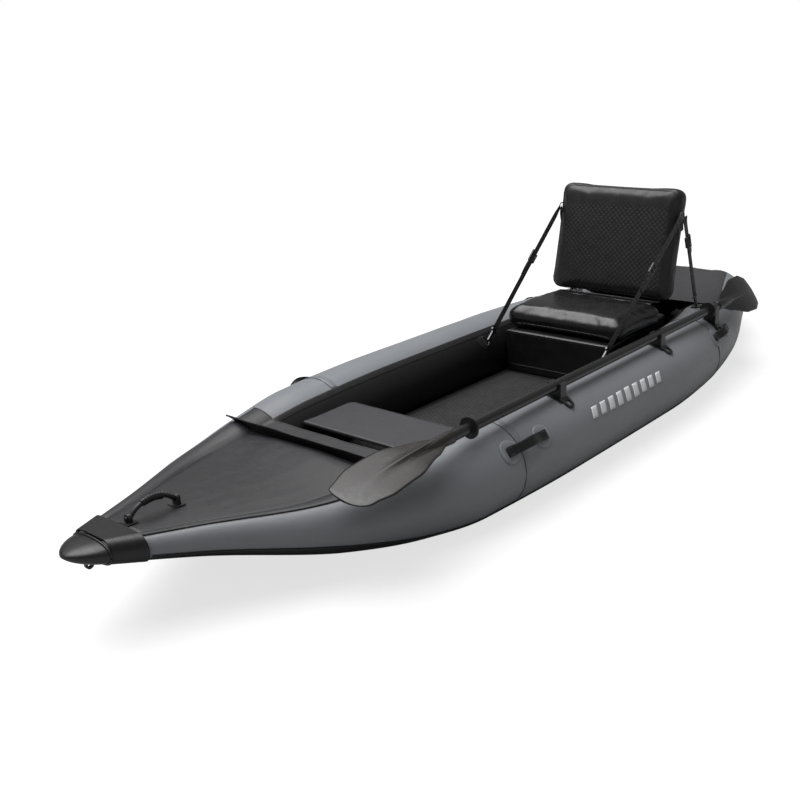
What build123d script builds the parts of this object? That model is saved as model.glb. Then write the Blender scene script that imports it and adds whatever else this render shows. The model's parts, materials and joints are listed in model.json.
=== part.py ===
from build123d import *
import math
import os

os.makedirs("parts", exist_ok=True)

# Inflatable sit-on kayak with a raised folding seat and a two-piece paddle.
# Millimetres. +X points to the bow, +Y to port, +Z up. The origin lies on the ground,
# on the centreline, midway between the nose tip and the stern.

# ---------------------------------------------------------------- driving dimensions
hull_length = 3300
half_length = hull_length / 2
tube_radius = 124            # side chambers over the cockpit
tube_spacing = 340           # centreline to tube centre over the cockpit
skin_thickness = 3           # bottom skin
skin_gap = 0.6               # between the bottom skin and the tubes
skin_angle = 140             # outboard of the crest, where the bottom skin ends
skin_bow_angle = 120         # the same at the bow
skin_rise_length = 300       # over which it climbs towards the bow
skin_inset = 20              # from the tubes' stern end
sheet_thickness = 3          # deck sheets
lining_thickness = 1.5       # black lining on the inside of the tubes
seat_gap = 0.3               # between pieces that touch
seam_angle = 36              # inboard of the crest, where deck and lining meet the tubes
lining_angle = 124           # inboard of the crest, where the lining ends

bench_front = -250
bench_back = -750
bench_height = 2 * tube_radius - 23
bench_edge = 18
floor_top = 72
floor_front = 0.418 * half_length
floor_back = bench_back - 210
floor_gap = 0.9              # between the floor or panel and the lining beside it
mat_thickness = 4
mat_half_width = 185
mat_back = bench_front + 25
mat_corner = 30

cushion_width = 484
cushion_length = 305
cushion_thickness = 79
cushion_edge = 24
cushion_corner = 42
cushion_front = -283
backrest_width = 490
backrest_height = 390
backrest_thickness = 75
backrest_edge = 24
backrest_lean = 12
hinge_clearance = 3
back_ring_height = 310       # along the backrest, up from the hinge

strap_width = 25
strap_thickness = 2
adjuster_length = 42
adjuster_width = 34
adjuster_thickness = 8
hook_length = 46
ring_wire = 4
ring_width = 34
front_anchor_x = -145
front_anchor_angle = -56
rear_anchor_x = bench_back - 62
rear_anchor_angle = -8
anchor_patch_radius = 26
patch_thickness = 2

deck_front = half_length - 150
deck_camber = 0.05           # rise of the deck's middle, as a share of its half-width
guard_x = 0.565 * half_length
guard_rise = 20              # above the crests of the chambers
guard_reach = 31             # beyond the middles of the chambers
guard_shoulder = 26
hem_back = guard_x - 87
hem_angle = 8                # outboard of the crest, where the hem ends
slot_edge = guard_x - 167
panel_back = slot_edge - 205
panel_top = 2 * tube_radius - 58
panel_thickness = 12
panel_corner = 24
stern_deck_front = bench_back - 100
stern_deck_back = -0.84 * half_length
stern_deck_angle = 16        # outboard of the crest, where the stern deck ends

nose_band_back = half_length - 142
nose_seam = half_length - 75
nose_band_wall = 3
nose_lift = 9                # rise of the nose's middle from its seam to its tip
nose_core = 0.92             # share of the nose's length before its rounded tip

shaft_radius = 14.5
shaft_wall = 2
shaft_y = tube_spacing + 26
shaft_z = 2 * tube_radius + 33
paddle_length = 2300
paddle_middle = 30
ferrule_length = 240
ferrule_wall = 2
ferrule_clearance = 0.05
blade_length = 380
blade_half_width = 74
blade_bow = 30                 # fall of the blade's tip from the shaft's line
blade_straight = 140           # from the blade's root to where it starts to curve
blade_thickness = 5
blade_socket = 60
socket_wall = 3
front_blade_tilt = -10
rear_blade_tilt = -52
drip_ring_inset = 78         # outer face of the ring to the blade's socket
drip_ring_radius = 29
drip_ring_width = 12
button_radius = 3.5
button_travel = 3
clip_places = {"front": 320, "middle": -286, "rear": -703}
clip_length = 30
clip_wall = 7
clip_clearance = 0.4

side_handle_length = 165
side_handle_angle = 55
side_handle_width = 28
side_handle_rise = 20
side_handle_thickness = 4
side_handle_places = {"front": 0.34 * half_length, "aft": -0.424 * half_length}

bow_handle_span = 120
bow_handle_middle = half_length - 230
bow_handle_rise = 26
bow_handle_radius = 6
bow_grip_radius = 10
bow_grip_length = 56
eye_clearance = 0.08

tow_eye_hole = 5
tow_eye_width = 8
tow_eye_x = half_length - 58
tow_eye_drop = 6             # below the underside of the nose

valve_radius = 22
valve_height = 9
valve_flange = 32
cap_radius = 25
cap_height = 11
tube_valve_x = bench_back - 50
tube_valve_angle = -52
floor_valve_x = bench_back - 110
drain_x = floor_back - 85
drain_bore = 11
drain_wall = 5

# Hull lines of the port chamber: x, tube centre from the centreline, tube radius,
# height of the tube's underside. The starboard chamber is its mirror image.
flat = skin_gap + skin_thickness
stern_radius = 0.758 * tube_radius
hull_lines = [
    (stern_radius - half_length, 0.053 * tube_spacing, stern_radius, flat + 18),
    (-0.848 * half_length, 0.247 * tube_spacing, tube_radius, flat + 9),
    (-0.758 * half_length, 0.403 * tube_spacing, 1.024 * tube_radius, flat + 4.5),
    (-0.545 * half_length, 0.759 * tube_spacing, 1.008 * tube_radius, flat),
    (-0.364 * half_length, 0.935 * tube_spacing, tube_radius, flat),
    (-0.182 * half_length, tube_spacing, tube_radius, flat),
    (0.182 * half_length, 0.988 * tube_spacing, tube_radius, flat),
    (0.418 * half_length, 0.935 * tube_spacing, 0.976 * tube_radius, flat),
    (0.545 * half_length, 0.876 * tube_spacing, 0.79 * tube_radius, flat + 22.5),
    (0.667 * half_length, 0.762 * tube_spacing, 0.548 * tube_radius, flat + 62.5),
    (0.848 * half_length, 0.353 * tube_spacing, 0.29 * tube_radius, flat + 138.5),
    (nose_seam, 0.118 * tube_spacing, 0.185 * tube_radius, flat + 173.5),
]
STERN_END = hull_lines[0][0]
BOW_END = hull_lines[-1][0]
SPACING, RADIUS, UNDERSIDE = 1, 2, 3
station_step = 50            # spacing of the sections that the hull pieces are lofted through


# ---------------------------------------------------------------- fairing of the hull lines
def fair_slopes(column):
    """Slopes at the stations that keep the curve free of bumps between them."""
    xs = [row[0] for row in hull_lines]
    ys = [row[column] for row in hull_lines]
    steps = [(ys[i + 1] - ys[i]) / (xs[i + 1] - xs[i]) for i in range(len(xs) - 1)]
    slopes = [steps[0]]
    for before, after in zip(steps, steps[1:]):
        if before * after <= 0:
            slopes.append(0.0)
        else:
            slopes.append(2 * before * after / (before + after))
    slopes.append(steps[-1])
    return slopes


SLOPES = {column: fair_slopes(column) for column in (SPACING, RADIUS, UNDERSIDE)}


def faired(x, column):
    """Value of a hull line at x, on a smooth cubic through the stations."""
    last = len(hull_lines) - 2
    i = 0
    while i < last and x > hull_lines[i + 1][0]:
        i += 1
    x0, x1 = hull_lines[i][0], hull_lines[i + 1][0]
    y0, y1 = hull_lines[i][column], hull_lines[i + 1][column]
    m0, m1 = SLOPES[column][i], SLOPES[column][i + 1]
    h = x1 - x0
    t = (x - x0) / h
    return (
        (2 * t**3 - 3 * t**2 + 1) * y0
        + (t**3 - 2 * t**2 + t) * h * m0
        + (3 * t**2 - 2 * t**3) * y1
        + (t**3 - t**2) * h * m1
    )


def tube_at(x):
    """Centre spacing, centre height and radius of a side chamber at x."""
    radius = faired(x, RADIUS)
    return faired(x, SPACING), faired(x, UNDERSIDE) + radius, radius


def wall_y(x, z, clearance=0.0):
    """Distance from the centreline to the inner wall of a chamber at height z."""
    spacing, height, radius = tube_at(x)
    radius += clearance
    drop = min(abs(z - height), radius)
    return spacing - math.sqrt(radius**2 - drop**2)


def on_tube(x, angle, offset=0.0):
    """Point on a port chamber; the angle is from the crest, positive outboard."""
    spacing, height, radius = tube_at(x)
    a = math.radians(angle)
    return (x, spacing + (radius + offset) * math.sin(a), height + (radius + offset) * math.cos(a))


def tube_plane(x, angle, offset=0.0):
    """Plane that lies on the port chamber, its normal outwards and its x axis along the boat."""
    here = Vector(*on_tube(x, angle, offset))
    ahead = Vector(*on_tube(x + 1, angle, offset))
    behind = Vector(*on_tube(x - 1, angle, offset))
    along = (ahead - behind).normalized()
    a = math.radians(angle)
    outward = Vector(0, math.sin(a), math.cos(a))
    outward = (outward - along * outward.dot(along)).normalized()
    return Plane(origin=here, x_dir=along, z_dir=outward)


def spread(start, end, step):
    """Evenly spaced values from start to end, about step apart."""
    count = max(2, round(abs(end - start) / step) + 1)
    return [start + (end - start) * i / (count - 1) for i in range(count)]


def mirrored(shape):
    return mirror(shape, about=Plane.XZ)


# ---------------------------------------------------------------- hull
def tube_solid(grow=0.0, start=STERN_END, end=BOW_END):
    """A port chamber between two stations, its wall moved outwards by grow."""
    sections = []
    for x in spread(start, end, station_step):
        spacing, height, radius = tube_at(x)
        place = Plane(origin=(x, spacing, height), x_dir=(0, 1, 0), z_dir=(1, 0, 0))
        sections.append(place * Circle(radius + grow))
    return loft(sections)


def side_chamber():
    """Side chamber with a rounded stern end, cut off at the centreline."""
    spacing, height, radius = tube_at(STERN_END)
    dome = Pos(STERN_END, spacing, height) * Sphere(radius)
    reach = 4 * radius
    dome = dome & (Pos(STERN_END - reach / 2, 0, height) * Box(reach, 2 * reach, 2 * reach))
    chamber = tube_solid() + dome
    port_half = Pos(0, 1000 + seat_gap / 2, 0) * Box(2 * hull_length, 2000, 1000)
    return chamber & port_half


def arc_points(x, start, end, offset):
    """Start, middle and end of an arc round the port chamber."""
    return [on_tube(x, start + (end - start) * t, offset) for t in (0, 0.5, 1)]


def flip(point):
    return (point[0], -point[1], point[2])


def strip_section(x, outboard, inboard, inner, outer):
    """Cross-section of a sheet that hugs both chambers and runs straight between them."""
    low = arc_points(x, outboard, inboard, inner)
    high = arc_points(x, outboard, inboard, outer)
    edges = [
        ThreePointArc(*low),
        Line(low[2], flip(low[2])),
        ThreePointArc(flip(low[2]), flip(low[1]), flip(low[0])),
        Line(flip(low[0]), flip(high[0])),
        ThreePointArc(flip(high[0]), flip(high[1]), flip(high[2])),
        Line(flip(high[2]), high[2]),
        ThreePointArc(high[2], high[1], high[0]),
        Line(high[0], low[0]),
    ]
    return make_face(edges)


def bottom_skin():
    """Bottom skin: flat between the chambers, wrapped up their sides, higher towards the bow."""
    sections = []
    for x in spread(STERN_END + skin_inset, deck_front, station_step):
        rise = min(1, max(0, (x - hem_back) / skin_rise_length))
        wrap = skin_angle - (skin_angle - skin_bow_angle) * rise
        sections.append(strip_section(x, wrap, 180, skin_gap, skin_gap + skin_thickness))
    skin = loft(sections)
    hole = Pos(drain_x, 0, drain_base()) * Cylinder(drain_bore + drain_wall + seat_gap, 40)
    return skin - hole


def lining():
    """Black lining of the port chamber's inner wall, from the seam down to the floor."""
    sections = []
    for x in spread(stern_deck_front + 6, hem_back - 3, station_step):
        low = arc_points(x, -seam_angle, -lining_angle, seat_gap)
        high = arc_points(x, -seam_angle, -lining_angle, seat_gap + lining_thickness)
        edges = [
            ThreePointArc(*low),
            Line(low[2], high[2]),
            ThreePointArc(high[2], high[1], high[0]),
            Line(high[0], low[0]),
        ]
        sections.append(make_face(edges))
    return loft(sections)


def deck_edge(x):
    """Underside of the bow deck at its edge."""
    return on_tube(x, -seam_angle, seat_gap)


def bow_deck():
    """Taut sheet between the chambers, with a slight crown."""
    sections = []
    for x in spread(guard_x + 6, deck_front, station_step):
        edge = deck_edge(x)
        crown = deck_camber * edge[1]
        low = [edge, (x, 0, edge[2] + crown), flip(edge)]
        high = [(p[0], p[1], p[2] + sheet_thickness) for p in low]
        edges = [
            ThreePointArc(*low),
            Line(low[2], high[2]),
            ThreePointArc(high[2], high[1], high[0]),
            Line(high[0], low[0]),
        ]
        sections.append(make_face(edges))
    return loft(sections)


def deck_hem():
    """Reinforced aft edge of the bow deck, lying over the crests of both chambers."""
    low = seat_gap
    high = seat_gap + sheet_thickness
    places = spread(hem_back, guard_x, 30)
    return loft([strip_section(x, hem_angle, -seam_angle, low, high) for x in places])


def splash_guard():
    """Upright lip on the hem that keeps water out of the cockpit."""
    x = guard_x - 4
    clearance = seat_gap + sheet_thickness + seat_gap
    spacing, height, radius = tube_at(x)
    arc = arc_points(x, hem_angle, -seam_angle, clearance)
    top = height + radius + guard_rise
    tip = (x, spacing + guard_reach, top - 1)
    shoulder = (x, spacing + guard_reach - guard_shoulder, top)
    edges = [
        ThreePointArc(*arc),
        Line(arc[2], flip(arc[2])),
        ThreePointArc(flip(arc[2]), flip(arc[1]), flip(arc[0])),
        Line(flip(arc[0]), flip(tip)),
        Line(flip(tip), flip(shoulder)),
        Line(flip(shoulder), shoulder),
        Line(shoulder, tip),
        Line(tip, arc[0]),
    ]
    return extrude(make_face(edges), amount=sheet_thickness, dir=(1, 0, 0))


def deck_panel():
    """Flat panel across the cockpit's front, seated between the linings."""
    reach = seat_gap + lining_thickness + floor_gap
    low = panel_top - panel_thickness
    port = [(x, wall_y(x, low, reach)) for x in spread(panel_back, slot_edge, 40)]
    outline = Polyline(*port, *[(x, -y) for x, y in reversed(port)], close=True)
    panel = Pos(0, 0, low) * extrude(make_face(outline), amount=panel_thickness)
    corners = panel.edges().filter_by(Axis.Z).sort_by(Axis.X)[:2]
    return fillet(corners, panel_corner)


def stern_deck():
    """Sheet over the closed stern, hugging the crests of both chambers."""
    sections = [
        strip_section(x, stern_deck_angle, 0, 2 * seat_gap, 2 * seat_gap + sheet_thickness)
        for x in spread(stern_deck_back, stern_deck_front, station_step)
    ]
    return loft(sections)


def stadium(x, half_width, low, high):
    """Section of the nose: a slot shape lying across the boat."""
    height = high - low
    plane = Plane(origin=(x, 0, (low + high) / 2), x_dir=(0, 1, 0), z_dir=(1, 0, 0))
    return plane * RectangleRounded(2 * half_width, height, height / 2 - 0.1)


def hull_box(x, grow):
    """Half-width, bottom and top of the nose around both chambers at x."""
    spacing, height, radius = tube_at(x)
    return spacing + radius + grow, height - radius - grow, height + radius + grow


def nose_band():
    """Rubber band round the bow, over the ends of the chambers, deck and skin."""
    inner_grow = skin_gap + skin_thickness + seat_gap
    outer_grow = inner_grow + nose_band_wall
    places = spread(nose_band_back, nose_seam, 34)
    outer = loft([stadium(x, *hull_box(x, outer_grow)) for x in places])
    inner = loft([stadium(x, *hull_box(x, inner_grow)) for x in places])
    return outer - inner


def nose_root():
    """Half-width, bottom and top of the nose where it meets the band."""
    return hull_box(nose_seam, skin_gap + skin_thickness + seat_gap + nose_band_wall)


def nose_cone():
    """Moulded rubber nose, blunt at the tip, with the solid root closing the bow."""
    half_width, low, high = nose_root()
    root = nose_seam + seat_gap
    length = half_length - root
    middle = (low + high) / 2
    sections = []
    for t in (0, 0.35, 0.7, nose_core):
        bulge = math.sqrt(1 - (0.93 * t) ** 2)
        half_height = (high - low) / 2 * (0.25 + 0.75 * bulge)
        across = max(half_width * bulge, half_height + 1)
        lifted = middle + nose_lift * t
        sections.append(stadium(root + t * length, across, lifted - half_height, lifted + half_height))
    tip_x = root + nose_core * length
    tip_radius = half_length - tip_x
    tip = Pos(tip_x, 0, middle + nose_lift * nose_core)
    ball = tip * scale(Sphere(tip_radius), by=(1, 2, 2))
    reach = 4 * tip_radius
    ahead = tip * Pos(reach / 2, 0, 0) * Box(reach, 2 * reach, 2 * reach)
    return loft(sections) + (ball & ahead)


def tow_eye():
    """Moulded lug under the nose with a hole across it."""
    low = nose_root()[1]
    lug_radius = tow_eye_hole + 5
    centre = Pos(tow_eye_x, 0, low - tow_eye_drop) * Rot(90, 0, 0)
    lug = centre * Cylinder(lug_radius, tow_eye_width)
    root = Pos(tow_eye_x, 0, low + 2) * Box(2 * lug_radius, tow_eye_width, 16)
    hole = centre * Cylinder(tow_eye_hole, 3 * tow_eye_width)
    return lug + root - hole - nose_cone()


# ---------------------------------------------------------------- floor and seat
def floor_chamber():
    """Stiff inflated floor between the chambers, rounded at both ends."""
    reach = seat_gap + lining_thickness + floor_gap
    places = spread(floor_back + 60, floor_front - 60, 110)
    port = [(x, wall_y(x, floor_top, reach)) for x in places]
    bow_corner = (floor_front, port[-1][1] - 70)
    stern_corner = (floor_back, port[0][1] - 60)
    side = Spline(*port)
    edges = [
        side,
        Line(port[-1], bow_corner),
        Line(bow_corner, (bow_corner[0], -bow_corner[1])),
        Line((bow_corner[0], -bow_corner[1]), (port[-1][0], -port[-1][1])),
        mirror(side, about=Plane.XZ),
        Line((port[0][0], -port[0][1]), (stern_corner[0], -stern_corner[1])),
        Line((stern_corner[0], -stern_corner[1]), stern_corner),
        Line(stern_corner, port[0]),
    ]
    base = max(faired(x, UNDERSIDE) for x in (floor_back, 0, floor_front)) + seat_gap
    return Pos(0, 0, base) * extrude(make_face(edges), amount=floor_top - base)


def floor_mat():
    """Ribbed foam mat glued to the floor."""
    length = floor_front - 30 - mat_back
    mat = Pos(mat_back + length / 2, 0, floor_top + seat_gap + mat_thickness / 2)
    mat = mat * Box(length, 2 * mat_half_width, mat_thickness)
    return fillet(mat.edges().filter_by(Axis.Z), mat_corner)


def seat_bench():
    """Inflated block that raises the seat, wedged between the linings."""
    reach = seat_gap + lining_thickness + floor_gap
    middle = tube_at(bench_front)[1]
    half_front = wall_y(bench_front, middle, reach)
    half_back = wall_y(bench_back, middle, reach)
    corners = [
        (bench_back, -half_back),
        (bench_front, -half_front),
        (bench_front, half_front),
        (bench_back, half_back),
    ]
    outline = Polyline(*corners, close=True)
    base = floor_top + seat_gap
    block = Pos(0, 0, base) * extrude(make_face(outline), amount=bench_height - base)
    return fillet(block.edges(), bench_edge)


def seat_base():
    base = bench_height + seat_gap
    block = Pos(cushion_front - cushion_length / 2, 0, base + cushion_thickness / 2)
    block = block * Box(cushion_length, cushion_width, cushion_thickness)
    block = fillet(block.edges().filter_by(Axis.Z), cushion_corner)
    rims = block.faces().filter_by(Axis.Z).edges()
    return fillet(rims, cushion_edge)


def hinge_point():
    """Crease between seat and backrest."""
    return cushion_front - cushion_length - 3, bench_height + seat_gap + cushion_thickness + hinge_clearance


def backrest_place():
    """Frame of the backrest: origin at the crease, x aft-to-fore, z up along the backrest."""
    x, z = hinge_point()
    return Pos(x, 0, z) * Rot(0, -backrest_lean, 0)


def seat_back():
    block = Pos(-backrest_thickness / 2, 0, backrest_height / 2)
    block = block * Box(backrest_thickness, backrest_width, backrest_height)
    return backrest_place() * fillet(block.edges(), backrest_edge)


def seat_hinge_web():
    """Fabric hinge: glued to the seat's top, it folds down under the backrest's lower edge."""
    x, z = hinge_point()
    thickness = 1.4
    base = z - hinge_clearance + seat_gap
    slope = math.tan(math.radians(backrest_lean))
    under = 45
    low_end = z - slope * under - seat_gap - thickness
    corners = [
        (x + 40, base),
        (x + 40, base + thickness),
        (x, base + thickness),
        (x - under, low_end + thickness),
        (x - under, low_end),
        (x, base),
    ]
    profile = make_face(Polyline(*corners, close=True))
    half_width = (cushion_width - 2 * cushion_corner) / 2
    return extrude(Plane.XZ * profile, amount=half_width, both=True)


def d_ring(width=ring_width, depth=24, wire=ring_wire):
    """D-ring of round wire, its straight bar along x and its bow towards +y."""
    half = width / 2
    bow = ThreePointArc((half, 0), (0, depth), (-half, 0))
    radius = wire / 2
    bow_solid = sweep(Plane(origin=(half, 0, 0), z_dir=bow % 0) * Circle(radius), path=bow)
    bar_solid = Rot(0, 90, 0) * Cylinder(radius, width)
    ends = Pos(half, 0, 0) * Sphere(radius) + Pos(-half, 0, 0) * Sphere(radius)
    return bow_solid + bar_solid + ends


def back_rings():
    """Metal rings on the sides of the backrest, where the straps clip on."""
    side = backrest_width / 2 + ring_wire / 2 + seat_gap
    ring = Pos(-18, side, back_ring_height - 8) * Rot(90, 0, 0) * d_ring(28, 20)
    port = backrest_place() * ring
    return port, mirrored(port)


# ---------------------------------------------------------------- strap anchors and straps
def anchor_seat(angle):
    """Gap under an anchor patch: the lining lies below the seam, the bare chamber above it."""
    return seat_gap + (lining_thickness + 0.1 if angle < -seam_angle else 0)


def patch_on_tube(x, angle, radius):
    """Round patch that follows the chamber's wall."""
    reach = radius + 12
    outer = tube_solid(anchor_seat(angle) + patch_thickness, x - reach, x + reach)
    inner = tube_solid(anchor_seat(angle), x - reach, x + reach)
    place = tube_plane(x, angle)
    punch = place * Cylinder(radius, 60)
    return (outer - inner) & punch


def anchor_place(x, angle):
    return tube_plane(x, angle, anchor_seat(angle) + patch_thickness + seat_gap)


def anchor_ring(x, angle, towards, wire=ring_wire):
    """D-ring lying on its patch; towards is +1 to point it forward and -1 aft."""
    place = anchor_place(x, angle)
    turn = -90 if towards > 0 else 90
    return place * Pos(0, 0, ring_wire / 2) * Rot(0, 0, turn) * d_ring(wire=wire)


def strap_ends(x, angle, towards):
    """Where a port strap leaves the backrest's ring and where its hook begins.

    The rear strap lies outside the front one on the ring."""
    plane = anchor_place(x, angle)
    at_hull = plane.origin + plane.x_dir * (towards * 24) + plane.z_dir * 5
    layer = 6 if towards < 0 else 6 + strap_thickness + 0.5
    ring_centre = backrest_place() * Pos(-18, backrest_width / 2 + layer, back_ring_height + 4)
    at_back = Vector(*ring_centre.position)
    run = (at_back - at_hull).normalized()
    return at_back - run * 10, at_hull + run * hook_length, at_hull


def band(start, end, width, thickness):
    """Flat band between two points, its width in the upright plane along the boat."""
    run = end - start
    along = run.normalized()
    across = Vector(0, 1, 0).cross(along).normalized()
    plane = Plane(origin=(start + end) * 0.5, x_dir=along, z_dir=across.cross(along))
    return plane * Box(run.length, width, thickness)


def strap(x, angle, towards):
    at_back, at_hook, at_hull = strap_ends(x, angle, towards)
    return band(at_hook, at_back, strap_width, strap_thickness)


def strap_adjuster(x, angle, towards, share):
    """Ladder-lock buckle round the strap."""
    at_back, at_hook, at_hull = strap_ends(x, angle, towards)
    middle = at_back + (at_hook - at_back) * share
    run = (at_hook - at_back).normalized()
    half = run * (adjuster_length / 2)
    block = band(middle - half, middle + half, adjuster_width, adjuster_thickness)
    slit = band(middle - 2 * half, middle + 2 * half, strap_width + 1, strap_thickness + 0.6)
    return block - slit


def strap_hook(x, angle, towards):
    """Snap hook from the strap to the anchor's ring, its nose closed round the ring's wire."""
    at_back, at_hook, at_hull = strap_ends(x, angle, towards)
    run = (at_hook - at_hull).normalized()
    body = band(at_hull - run * 4, at_hook - run * 0.3, 12, 6)
    eye = band(at_hook - run * 7, at_hook - run * 0.3, strap_width + 4, 6)
    return body + eye - anchor_ring(x, angle, towards, ring_wire + 2 * seat_gap)


# ---------------------------------------------------------------- paddle
def along_shaft(x):
    return Pos(x, shaft_y, shaft_z) * Rot(0, 90, 0)


def half_paddle():
    return paddle_length / 2


def shaft_end():
    """Distance from the paddle's middle to the end of a shaft tube."""
    return half_paddle() - blade_length + blade_socket


def shaft_tube(side):
    length = shaft_end() - seat_gap / 2
    middle = paddle_middle + side * (seat_gap / 2 + length / 2)
    wall = Cylinder(shaft_radius, length) - Cylinder(shaft_radius - shaft_wall, length)
    tube = along_shaft(middle) * wall
    if side < 0:
        tube = tube - button_hole()
    return tube


def button_x():
    return paddle_middle - ferrule_length / 4


def button_hole():
    place = Pos(button_x(), shaft_y, shaft_z + shaft_radius)
    return place * Cylinder(button_radius + 0.2, 2 * shaft_wall + 6)


def paddle_ferrule():
    """Inner sleeve fixed in the front half; the rear half slides over it."""
    outer = shaft_radius - shaft_wall - ferrule_clearance
    wall = Cylinder(outer, ferrule_length) - Cylinder(outer - ferrule_wall, ferrule_length)
    return along_shaft(paddle_middle) * wall - button_hole()


def snap_button():
    top = shaft_z + shaft_radius + 1.5
    low = shaft_z + shaft_radius - shaft_wall - ferrule_clearance - 4
    return Pos(button_x(), shaft_y, (top + low) / 2) * Cylinder(button_radius, top - low)


def blade_sheet():
    """Wide sheet that runs straight from the root and then curves down to the blade's tip."""
    top = blade_thickness / 2
    edges = [
        Line((0, -top), (0, top)),
        Line((0, top), (blade_straight, top)),
        TangentArc((blade_straight, top), (blade_length + 1, top - blade_bow), tangent=(1, 0)),
        Line((blade_length + 1, top - blade_bow), (blade_length + 1, -top - blade_bow)),
        TangentArc((blade_straight, -top), (blade_length + 1, -top - blade_bow), tangent=(1, 0)),
        Line((blade_straight, -top), (0, -top)),
    ]
    return extrude(Plane.XZ * make_face(edges), amount=1.2 * blade_half_width, both=True)


def blade(side, tilt):
    """Blade with a hollow root that the shaft is bonded into, and a spine along its middle."""
    w = blade_half_width
    reach = blade_length
    root_width = [(0.08 * reach, 16), (0.26 * reach, 0.55 * w)]
    full = root_width + [(0.53 * reach, 0.95 * w), (0.76 * reach, w), (0.93 * reach, 0.72 * w)]
    square = root_width + [(0.53 * reach, 0.93 * w), (0.8 * reach, 0.96 * w), (0.96 * reach, 0.76 * w)]
    outline = [
        Spline((reach, 0), *reversed(full), tangents=[(0, 1), (-1, 0)]),
        Line(full[0], (square[0][0], -square[0][1])),
        Spline(*[(x, -y) for x, y in square], tangents=[(1, 0), (1, 0.2)]),
        Spline((square[-1][0], -square[-1][1]), (reach, 0), tangents=[(0.7, 1), (0, 1)]),
    ]
    plate = Pos(0, 0, -blade_bow - blade_thickness) * extrude(make_face(outline), amount=2 * blade_bow + 10)
    plate = plate & blade_sheet()
    root_radius = shaft_radius + socket_wall
    root = Pos(blade_socket / 2, 0, 0) * Rot(0, 90, 0) * Cylinder(root_radius, blade_socket)
    spine_length = 0.55 * reach - blade_socket
    spine = Pos(blade_socket + spine_length / 2, 0, 0) * Rot(0, 90, 0) * Cone(root_radius, 3, spine_length)
    bore = Pos(blade_socket / 2 - 0.5, 0, 0) * Rot(0, 90, 0) * Cylinder(shaft_radius, blade_socket + 1)
    solid = plate + root + spine - bore
    turned = Rot(tilt, 0, 0) * (Rot(0, 0, 0 if side > 0 else 180) * solid)
    start = paddle_middle + side * (half_paddle() - blade_length)
    return Pos(start, shaft_y, shaft_z) * turned


def drip_ring(side):
    """Rubber ring that keeps water from running down the shaft."""
    middle = paddle_middle + side * (half_paddle() - blade_length - drip_ring_inset + drip_ring_width / 2)
    disc = Cylinder(drip_ring_radius, 4) + Cylinder(shaft_radius + 4, drip_ring_width)
    return along_shaft(middle) * (disc - Cylinder(shaft_radius + ferrule_clearance, 3 * drip_ring_width))


def paddle_clip(x):
    """Open-topped rubber cradle welded to the chamber."""
    half_width = shaft_radius + clip_clearance + clip_wall
    low = tube_at(x)[1] + 60
    top = shaft_z + 9
    groove_radius = shaft_radius + clip_clearance
    block = Pos(x, shaft_y, (low + top) / 2) * Box(clip_length, 2 * half_width, top - low)
    groove = along_shaft(x) * Cylinder(groove_radius, 2 * clip_length)
    mouth = Pos(x, shaft_y, shaft_z + 50) * Box(2 * clip_length, 2 * groove_radius, 100)
    reach = clip_length + 10
    return block - groove - mouth - tube_solid(seat_gap, x - reach, x + reach)


# ---------------------------------------------------------------- handles
def side_handle(x):
    """Webbing grip that arches off the chamber's outer side, sewn down at both ends."""
    half = side_handle_length / 2
    base = seat_gap + patch_thickness + seat_gap
    flat = 26
    inner = [(-half, 0), (-half + flat, 0), (0, side_handle_rise), (half - flat, 0), (half, 0)]
    t = side_handle_thickness
    edges = [
        Line(inner[0], inner[1]),
        ThreePointArc(inner[1], inner[2], inner[3]),
        Line(inner[3], inner[4]),
        Line(inner[4], (half, t)),
        Line((half, t), (half - flat, t)),
        ThreePointArc((half - flat, t), (0, side_handle_rise + t), (-half + flat, t)),
        Line((-half + flat, t), (-half, t)),
        Line((-half, t), inner[0]),
    ]
    profile = make_face(edges)
    bar = Rot(90, 0, 0) * extrude(profile, amount=side_handle_width / 2, both=True)
    place = tube_plane(x, side_handle_angle, base - 0.8)
    return (place * bar) - tube_solid(base, x - half - 15, x + half + 15)


def side_handle_patches(x):
    """Two patches under the ends of a side handle."""
    half = side_handle_length / 2 - 14
    outer = tube_solid(seat_gap + patch_thickness, x - half - 40, x + half + 40)
    inner = tube_solid(seat_gap, x - half - 40, x + half + 40)
    shell = outer - inner
    places = [tube_plane(x + side * half, side_handle_angle) for side in (-1, 1)]
    return [shell & (place * Box(38, 44, 60)) for place in places]


def deck_crown(x):
    """Top of the bow deck on the centreline."""
    edge = deck_edge(x)
    return edge[2] + deck_camber * edge[1] + sheet_thickness


def bow_handle_axis():
    """Height of the line through the handle's ends, clear of the deck."""
    ends = (bow_handle_middle - bow_handle_span / 2, bow_handle_middle + bow_handle_span / 2)
    return max(deck_crown(x) for x in ends) + bow_handle_radius + 5


def bow_handle():
    """Carry handle: a stiff arched cord whose straight ends turn in two eyes."""
    z = bow_handle_axis()
    half = bow_handle_span / 2
    corners = [
        (-half - 12, 0, 0),
        (-half + 6, 0, 0),
        (-half + 24, 0, bow_handle_rise),
        (half - 24, 0, bow_handle_rise),
        (half - 6, 0, 0),
        (half + 12, 0, 0),
    ]
    path = FilletPolyline(*corners, radius=9)
    cord = sweep(Plane(origin=path @ 0, z_dir=path % 0) * Circle(bow_handle_radius), path=path)
    return Pos(bow_handle_middle, 0, z) * cord


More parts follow.
